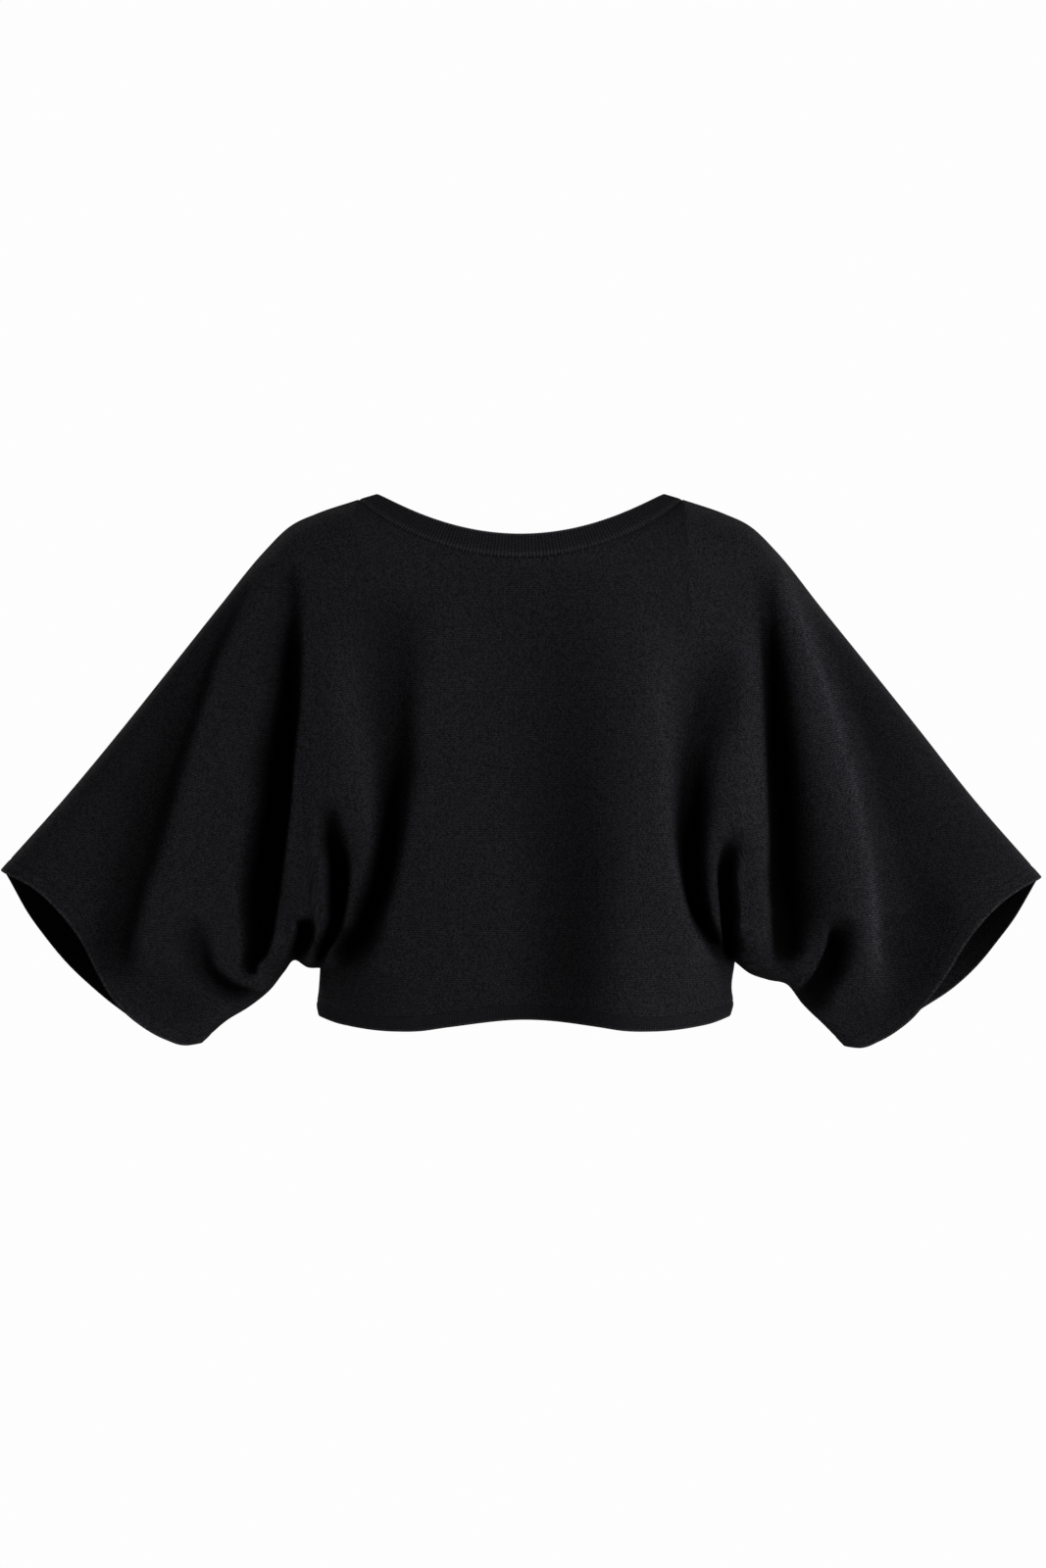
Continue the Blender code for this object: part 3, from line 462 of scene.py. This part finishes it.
# Quads of a grid of points numbered row by row; closed joins the last column to the first
def gridQuads(rows, columns, closed=False):
    j = np.arange(columns if closed else columns - 1)
    i = np.arange(rows - 1)[:, None]
    after = (j + 1) % columns
    return np.stack([i*columns + j, (i + 1)*columns + j, (i + 1)*columns + after, i*columns + after],
                    -1).reshape(-1, 4)


# Running length along rows or columns of a grid of points, in metres
def runLength(grid, axis):
    steps = np.linalg.norm(np.diff(grid, axis=axis), axis=-1)
    zero = np.zeros_like(np.take(steps, [0], axis))
    return np.cumsum(np.concatenate([zero, steps], axis), axis)/millimetres


# Places of a grid of points in the flat cut, in metres, with courses level across body and sleeves. A column's level
# falls evenly with its length down to the row of the underarms and with its height below. Along a row, counted from
# the middle, a step goes as far as its length and fall leave, and a fifth of its length at least
def flatPattern(grid, armRow):
    down, level = runLength(grid, 0), grid[..., 2].copy()
    level[:armRow] = level[0] + (level[armRow] - level[0])*(down/down[armRow])[:armRow]
    side = np.linalg.norm(np.diff(grid, axis=1), axis=-1)
    across = np.sqrt(np.maximum(side**2 - np.diff(level, axis=1)**2, (side/5)**2))
    across = np.cumsum(np.concatenate([np.zeros((len(grid), 1)), across], 1), 1)
    return np.stack([across - across[:, [grid.shape[1]//2]], level], -1)/millimetres


def addObject(name, data):
    thing = bpy.data.objects.new(name, data)
    bpy.context.collection.objects.link(thing)
    return thing


# A closed shell of knit: the outside, the same surface one wall further in along its normals, and a half circle
# between them round every open edge. `lining` is how much deeper the painted shade of the inside lies at each point,
# added to the inside's fold mark
def knitShell(name, points, quads, normals, uv, marks, lining):
    count, wall = len(points), cut['wall']
    away = unit(normals)
    inner = points - wall*away
    edges = np.concatenate([quads[:, [k, (k + 1) % 4]] for k in range(4)])
    index, times = np.unique(np.sort(edges, 1), axis=0, return_index=True, return_counts=True)[1:]
    a, b = edges[index[times == 1]].T
    out = np.cross(points[b] - points[a], (away[a] + away[b])/2)
    outward = np.zeros(points.shape)
    for end in (a, b):
        addAt(outward, end, unit(out))
    onEdge = np.unique(a)
    slot = np.full(count, -1)
    slot[onEdge] = np.arange(len(onEdge))
    middle, half = (points[onEdge] + inner[onEdge])/2, (points[onEdge] - inner[onEdge])/2
    sideways = unit(outward[onEdge])*wall/2
    steps = layout['rimSteps']
    rim = [middle + half*np.cos(angle) + sideways*np.sin(angle) for angle in np.pi*np.arange(1, steps)/steps]
    levelsA, levelsB = [[end] + [2*count + k*len(onEdge) + slot[end] for k in range(steps - 1)] + [end + count]
                        for end in (a, b)]
    rims = [np.stack([levelsB[k], levelsA[k], levelsA[k + 1], levelsB[k + 1]], -1) for k in range(steps)]
    faces = np.concatenate([quads, quads[:, ::-1] + count] + rims)
    allPoints = np.concatenate([points, inner] + rim)
    owner = np.concatenate([np.arange(count)]*2 + [onEdge]*(steps - 1))
    mesh = bpy.data.meshes.new(name)
    mesh.vertices.add(len(allPoints))
    mesh.vertices.foreach_set('co', (neckPoint + allPoints/millimetres).ravel())
    mesh.loops.add(faces.size)
    mesh.loops.foreach_set('vertex_index', faces.ravel())
    mesh.polygons.add(len(faces))
    mesh.polygons.foreach_set('loop_start', np.arange(0, faces.size, 4))
    mesh.polygons.foreach_set('use_smooth', np.ones(len(faces), bool))
    mesh.update(calc_edges=True)
    layer = mesh.uv_layers.new(name='knit')
    layer.uv.foreach_set('vector', uv[owner[faces.ravel()]].ravel())
    for mark, values in marks.items():
        given = values[owner]
        # the inside wall's fold mark also carries its painted shade
        if mark == 'fold':
            given[count:2*count] += lining
        mesh.attributes.new(mark, 'FLOAT', 'POINT').data.foreach_set('value', given)
    return addObject(name, mesh)


# Level with the seam plane, so that both panels meet edge to edge
def seamNormal(normals):
    return normals*np.array([1, 0, 1])


def neckNormal(phi, face):
    step = 1e-3
    along = neckSeam(phi + step, face) - neckSeam(phi - step, face)
    return turned(unit(np.cross(along, neckSeam(phi, face) - neckEdge(phi, face))), face)


def hemNormal(u, face):
    angle = np.radians(read(cut['fan'], 'u', 'angle', np.abs(u)))
    half = bySide(u, cut['waist']['right'][-1], cut['waist']['left'][-1])
    side = bySide(u, -1, 1)*np.sin(angle)/half
    return turned(unit(np.stack([side, np.cos(angle)/cut['hemY'][face], np.zeros(side.shape)], -1)), face)


# The cross product of a small step along the row and one down the column, or level with the seam plane on the seams
def cuffNormal(u, t, face):
    step = 1e-3
    along = clothAt(u + step, t, face) - clothAt(u - step, t, face)
    down = clothAt(u, np.minimum(t + step, 1), face) - clothAt(u, np.maximum(t - step, 0), face)
    normal = np.cross(along, down)*facing[face]
    seam = (t <= 0) | (t >= 1)
    return np.where(seam[..., None], seamNormal(normal), normal)


# How far a point `away` mm from a seam sinks into its groove, and the painted shadow in the groove there: bells of
# the join's widths
def groove(away, seam):
    return join[seam]['deep']*bell(away, join['wide'])


def seamShade(away, seam):
    return join[seam]['dark']*bell(away, join['darkWide'])


# Painted shade of the inside `away` mm from the free edge: `inside` there, and the painted shade of the whole inside
# past a bell of width `reach`
def liningShade(away, inside, reach):
    return yarn['inside'] + (inside - yarn['inside'])*bell(away, reach)


# Both values for liningShade round a cuff, easing over from the top into the low part, where the painted shade of the
# inside is lighter
def cuffLining(places, side):
    style = bands['cuff']
    low = ease((places - style['lowFrom'])/style['lowOver'])
    return [top + (below - top)*low for top, below in zip((style['inside'], style['reach']), style['low'][side])]


# Front and back panels
panels = {'front': {'name': 'frontPanel', 'flat': (1.26, .56), 'area': .40},
          'back': {'name': 'backPanel', 'flat': (1.26, .56), 'area': .39}}


def knitPanel(face):
    neckEnd, arm = cut['neckShare'], cut['armShare']
    u, t = columnShares(face), rowShares(layout['rows'][face])
    a, upperRows = np.abs(u), len(t)
    onNeck, beyond = a <= neckEnd, a > arm
    seamShare = np.stack([cuffSeam(t, side, face) for side in (-1, 1)])[(u > 0).astype(int)]
    stretch = (seamShare - arm)/(1 - arm)
    upperU = np.where(beyond[:, None], np.sign(u)[:, None]*(arm + (a - arm)[:, None]*stretch), u[:, None]).T
    lower = np.concatenate([np.linspace(0, lastRows[0], layout['waistRows'] - len(lastRows) + 1)[1:-1], lastRows])
    allU = np.concatenate([upperU, np.broadcast_to(u, (len(lower), len(u)))])
    allV = np.concatenate([np.broadcast_to(t[:, None], upperU.shape), 1 + lower[:, None]*hemSeam(u, face)])
    grid, smooth, drop = clothAround(allU, allV, face)
    row = np.arange(len(grid))[:, None]
    upper = row < upperRows
    kept = upper | ~beyond
    quads = gridQuads(*kept.shape)
    quads = quads[kept.ravel()[quads].all(1)][:, ::-facing[face]]
    normals = pointNormals(grid.reshape(-1, 3), quads).reshape(grid.shape)
    onSeam = ((row == 0) & ~onNeck) | ((row == upperRows - 1) & (a >= arm)) | (~upper & (a == arm))
    normals[onSeam] = seamNormal(normals[onSeam])
    normals[0, onNeck] = neckNormal(neckAngle(u[onNeck]), face)
    normals[-1, ~beyond] = hemNormal(u[~beyond], face)
    for end in (0, -1):
        normals[:upperRows, end] = cuffNormal(allU[:upperRows, end], t, face)
    # distance in millimetres to the nearest seam of each kind
    down = runLength(smooth, 0)
    length = millimetres*(down - down[0])
    across = millimetres*runLength(grid, 1)
    fromSide = np.where(upper, farAway, np.minimum(*[
        np.abs(across - across[:, [np.abs(u - way*arm).argmin()]]) for way in (-1, 1)]))
    fromCuff = np.where(upper, np.minimum(across, across[:, [-1]] - across), farAway)
    seams = {'neck': np.where(onNeck, length, farAway), 'cuff': fromCuff,
             'hem': np.where(beyond, farAway, length[-1] - length),
             'long': np.minimum.reduce([np.where(onNeck, farAway, length), fromSide,
                                        np.where(beyond, np.abs(length[upperRows - 1] - length), farAway)])}
    # groove depth, and its painted shadow, along the nearest seams
    sunk, dark = [np.maximum.reduce([at(away, seam) for seam, away in seams.items()]) for at in (groove, seamShade)]
    points = grid - unit(normals)*sunk[..., None]
    # painted shade of the inside, lighter near the cuff openings
    lining = bySide(u, *[liningShade(fromCuff + cut['bandHigh'], *cuffLining(allV, side)) for side in (-1, 1)])
    # fold: painted shade in the folds, highlight on crests and shadow in the seam grooves; edge: painted highlight on
    # the side seams below the underarms
    marks = {'fold': (drop + dark)[kept], 'edge': join['sideHighlight']*bell(fromSide, join['sideWide'])[kept]}
    number = np.cumsum(kept) - 1
    return knitShell(panels[face]['name'], points[kept], number[quads], normals[kept],
                     flatPattern(smooth, upperRows - 1)[kept], marks, lining[kept])


# Bands
bands = {
    'neck': {'name': 'neckBand', 'rib': 3.3, 'ribHigh': .6, 'flat': (.70, .020), 'inside': 16, 'chain': .5,
             'dash': 13},
    'hem': {'name': 'hemBand', 'rib': 2.5, 'ribHigh': .3, 'flat': (.95, .0125), 'inside': 20, 'chain': 0, 'dash': 0},
    'cuff': {'rib': 2.5, 'ribHigh': .1, 'flat': (.61, .0125), 'chain': 0, 'dash': 4,
             # what liningShade takes at the top and, by side, left and right, in the low part
             'inside': 34, 'reach': 10, 'low': {1: (7, 80), -1: (22, 10)}, 'lowFrom': .13, 'lowOver': .46},
    'chainAt': 3.2, 'chainWide': 2.0,    # the lighter row of linking stitches beside the neck seam
    'insideReach': 10,                   # how far in from the free edge the painted shade of the inside is lighter
    'ribRound': .7, 'ribRise': 2.2,      # how full a rib is, and over what length ribs rise from the seam
    'pointsPerRib': 6}


# Places round a ring, in front and back again behind, at even steps of the true length; and which lie in front
def ringPlaces(places, pointAt, rib):
    front, back = pointAt(places, 'front'), pointAt(places[::-1], 'back')
    loop = np.concatenate([front, back[1:-1], front[:1]])
    length = np.concatenate([[0], np.cumsum(np.linalg.norm(np.diff(loop, axis=0), axis=1))])
    count = int(round(length[-1]/rib))*bands['pointsPerRib']
    steps = np.arange(count)/count*length[-1]
    inFront = steps <= length[len(front) - 1]
    return np.where(inFront, np.interp(steps, length[:len(front)], places),
                    np.interp(steps, length[len(front) - 1:], places[::-1])), inFront


# Shares down a band, closest at both edges
def bandShares():
    return ((1 - np.cos(np.pi*np.linspace(0, 1, layout['bandRows'])))/2)[:, None]


# A ribbed band: rows by points round the ring, where ribs stand out along the normal as a power of a raised cosine
# and rise from the groove at the seam. The linking row is a bell of lighter yarn, and the groove beside it carries a
# painted shadow in dashes, dark at every other rib and most where the band faces front or back; the free edge carries
# a painted highlight. `cloth` gives points and fold depth at places of the ring on one face, and `lining` what
# liningShade takes
def ribbedBand(name, seam, ring, cloth, normalAt, lining, seamRow=0, flipped=False):
    style, (places, inFront) = bands[seam], ring

    def bothFaces(valueAt):
        return np.concatenate([valueAt(places[inFront], 'front'), valueAt(places[~inFront], 'back')], 1)
    grid, drop = [bothFaces(lambda at, face: cloth(at, face)[i]) for i in (0, -1)]
    high, wide = grid.shape[:2]
    away = unit(bothFaces(lambda at, face: np.broadcast_to(normalAt(at, face), (high, len(at), 3))))
    turn = np.arange(wide)/bands['pointsPerRib']
    rib = .5 + .5*np.cos(2*np.pi*turn)
    down = millimetres*runLength(grid, 0)
    fromSeam = np.abs(down - down[seamRow])
    fromFree = np.abs(down - down[-1 - seamRow if seamRow else -1])
    shape = rib**bands['ribRound']*style['ribHigh']*(1 - bell(fromSeam, bands['ribRise']))
    points = grid + away*(shape - groove(fromSeam, seam))[..., None]
    around = runLength(np.concatenate([grid, grid[:, :1]], 1), 1)[:, :-1]
    uv = np.stack([around, down/millimetres], -1).reshape(-1, 2)
    # painted shadow in dashes along the seam groove
    dashes = style['dash']*(.5 + .5*np.cos(np.pi*turn))*away[..., 1]**2*bell(fromSeam, join['wide'])
    chain = style['chain']*bell(fromSeam - bands['chainAt'], bands['chainWide'])
    # painted highlight along the free edge
    rim = join['rimHighlight']*bell(fromFree, join['rimWide'])
    # fold: painted fold shade, seam shadow and dashes; edge: the lighter linking row and the painted rim highlight;
    # rib: painted rib shade
    marks = {'fold': (drop + seamShade(fromSeam, seam) + dashes).ravel(), 'edge': np.maximum(chain, rim).ravel(),
             'rib': np.broadcast_to(rib, (high, wide)).ravel()}
    quads = gridQuads(high, wide, closed=True)
    return knitShell(name, points.reshape(-1, 3), quads[:, ::-1] if flipped else quads, away.reshape(-1, 3), uv,
                     marks, liningShade(fromFree, *lining).ravel())


def neckBandPiece():
    style = bands['neck']

    def cloth(at, face):
        edge, seam = turned(neckEdge(at, face), face), turned(neckSeam(at, face), face)
        return edge + (seam - edge)*bandShares()[..., None], np.zeros((layout['bandRows'], len(at)))
    ring = ringPlaces(np.linspace(-np.pi/2, np.pi/2, layout['ringPoints']),
                      lambda at, face: turned(neckSeam(at, face), face), style['rib'])
    return ribbedBand(style['name'], 'neck', ring, cloth, neckNormal, (style['inside'], bands['insideReach']), -1)


def hemBandPiece():
    style = bands['hem']

    def cloth(at, face):
        v = 1 + hemSeam(at, face)
        return clothAround(at, v + (2 - v)*bandShares(), face)
    ring = ringPlaces(np.linspace(-cut['armShare'], cut['armShare'], layout['ringPoints']),
                      lambda at, face: clothAt(at, 2, face), style['rib'])
    return ribbedBand(style['name'], 'hem', ring, cloth, hemNormal, (style['inside'], bands['insideReach']))


def cuffBandPiece(name, side):
    def shares(at, face):
        u = cuffSeam(at, side, face)
        return side*(u + (1 - u)*bandShares()), np.broadcast_to(at, (layout['bandRows'], len(at)))

    def cloth(at, face):
        return clothAround(*shares(at, face), face)

    def normals(at, face):
        return cuffNormal(*shares(at, face), face)
    ring = ringPlaces(rowShares(layout['cuffPoints']), lambda at, face: clothAt(side, at, face),
                      bands['cuff']['rib'])
    return ribbedBand(name, 'cuff', ring, cloth, normals, cuffLining(ring[0], side), flipped=side > 0)


# Yarn
yarn = {
    # the yarn's colour, and the lighter colour that the edge mark mixes in: the linking row's yarn and the painted
    # highlights along the side seams and free edges
    'colour': (.0163, .0160, .0185), 'lift': (.042, .042, .046),
    'roughness': (.84, .96), 'specular': .03,
    'wales': 450.0, 'courses': 500.0,     # stitches and rows to a metre
    'slant': .9, 'rowWander': 1.5,        # how far legs slant, and how much more courses wander than wales
    'legs': (.6, .4),                     # lines of a stitch's height in that of its legs,
    'shade': (.9, .38),                   # and of its painted shade between the loops in its height
    'spots': 2.0,                         # parts of a stitch, each way, that differ in shade
    'grain': {'Wander': 38.0, 'Patchy': 420.0, 'Hairy': 900.0, 'Cloudy': 9.0},    # unevennesses to a metre
    'grainLayers': 2.0, 'grainRough': .6,
    'plain': {'Wander': .4, 'Uneven': 1.15, 'Patchy': .1, 'Hairy': 1.3, 'Cloudy': .1},
    'ribbed': {'Wander': .1, 'Uneven': .5, 'Patchy': .2, 'Hairy': .7, 'Cloudy': .3},
    # ribShade paints shade into the rib valleys and a highlight onto the rib crests, by band
    'bump': .0005, 'ribShade': {'neck_band': .75, 'hem_band': .4}, 'ribLevel': .6,
    'foldShade': 16.5, 'foldLeast': .05,  # painted fold shade: depth in millimetres that leaves a third of the light; the least left
    'inside': 40.0}                       # how deep the painted shade of the inside lies, as a fold of that depth


# Sets an input to a value, or links it to another node's output
def feed(socket, value):
    if isinstance(value, bpy.types.NodeSocket):
        socket.id_data.links.new(value, socket)
    else:
        socket.default_value = value


# A node with its properties and inputs set by name, or inputs in their order
def addNode(tree, kind, *inputs, **values):
    node = tree.nodes.new(kind)
    for name in [name for name in values if hasattr(node, name)]:
        setattr(node, name, values.pop(name))
    for key, value in [*enumerate(inputs), *values.items()]:
        feed(node.inputs[key], value)
    return node


# A Math node on the tree of the sockets among its inputs
def maths(operation, *inputs):
    tree = next(value.id_data for value in inputs if isinstance(value, bpy.types.NodeSocket))
    return addNode(tree, 'ShaderNodeMath', *inputs, operation=operation).outputs[0]


def times(a, b):
    return maths('MULTIPLY', a, b)


def newMaterial(name):
    material = bpy.data.materials.new(name)
    material.use_nodes = True
    return material, material.node_tree.nodes['Principled BSDF'].inputs


# A node group with sockets given by kind, and where its inputs come out and its outputs go in
def newGroup(name, inputs, outputs):
    tree = bpy.data.node_groups.new(name, 'ShaderNodeTree')
    for way, kinds in (('INPUT', inputs), ('OUTPUT', outputs)):
        for kind, names in kinds.items():
            for socket in names.split(', '):
                tree.interface.new_socket(socket, in_out=way, socket_type='NodeSocket' + kind)
    return tree, addNode(tree, 'NodeGroupInput').outputs, addNode(tree, 'NodeGroupOutput').inputs


# Stands the nodes in columns, each to the right of all that feed it
def layOut(tree):
    column = dict.fromkeys(tree.nodes.keys(), 0)
    for _ in tree.nodes:
        for link in tree.links:
            column[link.to_node.name] = max(column[link.to_node.name], column[link.from_node.name] + 1)
    filled = dict.fromkeys(column.values(), 0)
    step = 200
    for node in tree.nodes:
        at = column[node.name]
        node.location = (at*step, -filled[at]*step)
        filled[at] += 1


# The knitted face on the metre grid of the knit layer, loosened by a slow wander. Height is a rounded row across each
# course times a line in two rounded legs across each wale, which slant and so make each stitch a V. Shade is a line
# in the height, painted shade between the loops, times the unevennesses of a stitch's spots, of patches, of hairs and
# of the cloth, each 1 on average, which are the yarn's own tone
def knitStitchGroup():
    tree, given, made = newGroup('knitStitch', {'Float': 'Wales, Courses, Wander, Uneven, Patchy, Hairy, Cloudy'},
                                 {'Float': 'Height, Shade'})
    layer = addNode(tree, 'ShaderNodeUVMap', uv_map='knit')
    along, down = addNode(tree, 'ShaderNodeSeparateXYZ', layer.outputs[0]).outputs[:2]

    def cloudy(name):
        return addNode(tree, 'ShaderNodeTexNoise', layer.outputs[0], Scale=yarn['grain'][name],
                       Detail=yarn['grainLayers'], Roughness=yarn['grainRough']).outputs[0]
    wander = times(maths('SUBTRACT', cloudy('Wander'), .5), given['Wander'])
    wale = maths('ADD', times(along, given['Wales']), wander)
    acrossWale = maths('PINGPONG', wale, .5)
    course = maths('ADD', times(down, given['Courses']), times(acrossWale, yarn['slant']))
    course = maths('ADD', course, times(wander, yarn['rowWander']))
    acrossCourse = times(maths('PINGPONG', course, .5), 2.0)
    row = maths('SUBTRACT', 1.0, maths('POWER', acrossCourse, 2.0))
    leg = maths('SUBTRACT', acrossWale, .25)
    legs = maths('SUBTRACT', 1.0, times(times(leg, leg), 16.0))
    height = times(row, maths('MULTIPLY_ADD', legs, *yarn['legs']))
    spot = addNode(tree, 'ShaderNodeCombineXYZ', *[maths('FLOOR', times(place, yarn['spots']))
                                                   for place in (wale, course)])
    single = addNode(tree, 'ShaderNodeTexWhiteNoise', Vector=spot.outputs[0], noise_dimensions='2D')
    shade = maths('MULTIPLY_ADD', height, *yarn['shade'])
    for name, value in (('Uneven', single.outputs['Value']),
                        *[(name, cloudy(name)) for name in ('Patchy', 'Hairy', 'Cloudy')]):
        shade = times(shade, maths('MULTIPLY_ADD', maths('SUBTRACT', value, .5), given[name], 1.0))
    feed(made['Height'], height)
    feed(made['Shade'], shade)
    layOut(tree)
    return tree


# Colour of the yarn where it lies: the yarn, mixed by the edge mark towards the Lift colour (the linking row's
# lighter yarn and painted highlights along the side seams and free edges), times the stitch's shade, painted rib
# shade that is a line in the rib's height, and painted fold shade: e to the power of minus the fold's depth over Fold
# Depth, down to
# Fold Least, which darkens hollows and lightens crests
def yarnColourGroup():
    sockets = {'Color': 'Yarn, Lift', 'Float': 'Stitch, Fold Depth, Fold Least, Rib Shade'}
    tree, given, made = newGroup('yarnColour', sockets, {'Color': 'Color'})
    fold, edge, rib = [addNode(tree, 'ShaderNodeAttribute', attribute_name=name).outputs['Fac']
                       for name in ('fold', 'edge', 'rib')]
    # painted fold shade, which also carries the painted shadow of the seams and of the inside
    sunk = maths('EXPONENT', times(maths('DIVIDE', fold, given['Fold Depth']), -1.0))
    sunk = maths('MULTIPLY_ADD', sunk, maths('SUBTRACT', 1.0, given['Fold Least']), given['Fold Least'])
    # painted rib shade: darker valleys, lighter crests
    ribbed = maths('MULTIPLY_ADD', rib, given['Rib Shade'],
                   maths('MULTIPLY_ADD', given['Rib Shade'], -yarn['ribLevel'], 1.0))
    light = times(times(sunk, ribbed), given['Stitch'])
    # the edge mark mixes in the linking row's lighter yarn and the painted highlights
    colour = addNode(tree, 'ShaderNodeMix', edge, data_type='RGBA')
    for socket, name in zip([s for s in colour.inputs if s.type == 'RGBA'], ('Yarn', 'Lift')):
        feed(socket, given[name])
    lit = [s for s in colour.outputs if s.type == 'RGBA'][0]
    shaded = addNode(tree, 'ShaderNodeVectorMath', lit, operation='SCALE', Scale=light)
    feed(made['Color'], shaded.outputs[0])
    layOut(tree)
    return tree


# One yarn, worked plain on the panels and cuffs and as rib on the other bands
def knitMaterial(name, groups, style, ribShade, wales):
    material, shader = newMaterial(name)
    tree = material.node_tree
    knit = addNode(tree, 'ShaderNodeGroup', node_tree=groups[0], Wales=wales, Courses=yarn['courses'], **yarn[style])
    colour = addNode(tree, 'ShaderNodeGroup', node_tree=groups[1], Yarn=(*yarn['colour'], 1),
                     Lift=(*yarn['lift'], 1), Stitch=knit.outputs['Shade'],
                     **{'Rib Shade': ribShade, 'Fold Depth': yarn['foldShade'], 'Fold Least': yarn['foldLeast']})
    bump = addNode(tree, 'ShaderNodeBump', Strength=1.0, Distance=yarn['bump'], Height=knit.outputs['Height'])
    low, high = yarn['roughness']
    shader['Specular IOR Level'].default_value = yarn['specular']
    feed(shader['Base Color'], colour.outputs['Color'])
    feed(shader['Roughness'], maths('MULTIPLY_ADD', knit.outputs['Height'], low - high, high))
    feed(shader['Normal'], bump.outputs[0])
    layOut(tree)
    return material


# Make the pieces
pieces = {}
for face in ('front', 'back'):
    pieces[face] = knitPanel(face)
    print('knitted', pieces[face].name, len(pieces[face].data.polygons)*2, 'triangles')
pieces['neck_band'] = neckBandPiece()
pieces['hem_band'] = hemBandPiece()
pieces['cuff_left'] = cuffBandPiece('cuffLeft', 1)
pieces['cuff_right'] = cuffBandPiece('cuffRight', -1)
print('ribbed', [(piece.name, len(piece.data.polygons)*2) for piece in list(pieces.values())[2:]])

groups = knitStitchGroup(), yarnColourGroup()
knits = {'plain': knitMaterial('plainKnit', groups, 'plain', 0.0, yarn['wales'])}
for node, band in (('neck_band', 'neck'), ('hem_band', 'hem')):
    knits[node] = knitMaterial(band + 'Rib', groups, 'ribbed', yarn['ribShade'][node],
                               2*millimetres/bands[band]['rib'])    # two wales to a rib
for node, piece in pieces.items():
    piece.data.materials.append(knits.get(node, knits['plain']))
    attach(piece, 'root')
    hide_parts(node)
print('yarn on')

# Studio: pale floor under the hanging garment, soft boxes in front, above and behind
studio = {
    'floorRadius': 1.45, 'floorDrop': .90, 'floorPoints': 96, 'floorColour': (.80, .80, .79), 'floorRough': .8,
    'backdrop': .983, 'fill': .02,
    # each soft box with its place, size and power
    'boxes': {'key': ((1.15, -1.9, .3), .8, 34), 'front': ((-1.6, -2.2, .3), 1.2, 9),
              'top': ((0, -.9, 2.0), 1.4, 10), 'rearLeft': ((1.7, 2.0, .9), 1.0, 30),
              'rearRight': ((-1.7, 2.0, .9), 1.0, 30), 'lowLeft': ((1.6, .1, -.95), .7, 14),
              'lowRight': ((-1.6, .3, -.9), .7, 9)}}
middle = (cadLow + cadHigh)/2

wide = studio['floorPoints']
turn = np.linspace(0, 2*np.pi, wide, endpoint=False)
rings = np.array([.25, .5, .75, 1])[:, None]*studio['floorRadius']
points = np.stack([rings*np.cos(turn), rings*np.sin(turn),
                   np.full((len(rings), wide), cadLow.z - studio['floorDrop'])], -1).reshape(-1, 3)
faces = [quad[::-1] for quad in gridQuads(len(rings), wide, closed=True).tolist()] + [list(range(wide))]
mesh = bpy.data.meshes.new('floor')
mesh.from_pydata(points.tolist(), [], faces)
material, shader = newMaterial('paleFloor')
shader['Base Color'].default_value = (*studio['floorColour'], 1)
shader['Roughness'].default_value = studio['floorRough']
mesh.materials.append(material)
addObject('floor', mesh)
for name, (at, size, power) in studio['boxes'].items():
    lamp = bpy.data.lights.new(name, 'AREA')
    lamp.size, lamp.energy = size, power
    box = addObject(name, lamp)
    box.location = at
    box.rotation_euler = (middle - box.location).to_track_quat('-Z', 'Y').to_euler()

# the air is white to the camera and a dim fill to the cloth
world = bpy.data.worlds.new('studioAir')
world.use_nodes = True
sky = world.node_tree
path = addNode(sky, 'ShaderNodeLightPath')
strength = addNode(sky, 'ShaderNodeMix', path.outputs['Is Camera Ray'], data_type='FLOAT')
strength.inputs[2].default_value, strength.inputs[3].default_value = studio['fill'], studio['backdrop']
air = sky.nodes['Background'].inputs
air['Color'].default_value = (1, 1, 1, 1)
feed(air['Strength'], strength.outputs[0])
layOut(sky)
bpy.context.scene.world = world
bpy.context.scene.view_settings.view_transform = 'Standard'

view = {'at': (.0023, -3.0, -.2714), 'turn': 90, 'lens': 73.37, 'sensor': 36, 'nearest': .05}
camera = bpy.data.cameras.new('camera')
camera.sensor_width, camera.lens, camera.clip_start = view['sensor'], view['lens'], view['nearest']
stand = addObject('camera', camera)
stand.location = view['at']
stand.rotation_euler = (np.radians(view['turn']), 0, 0)
bpy.context.scene.camera = stand
print('studio lit')
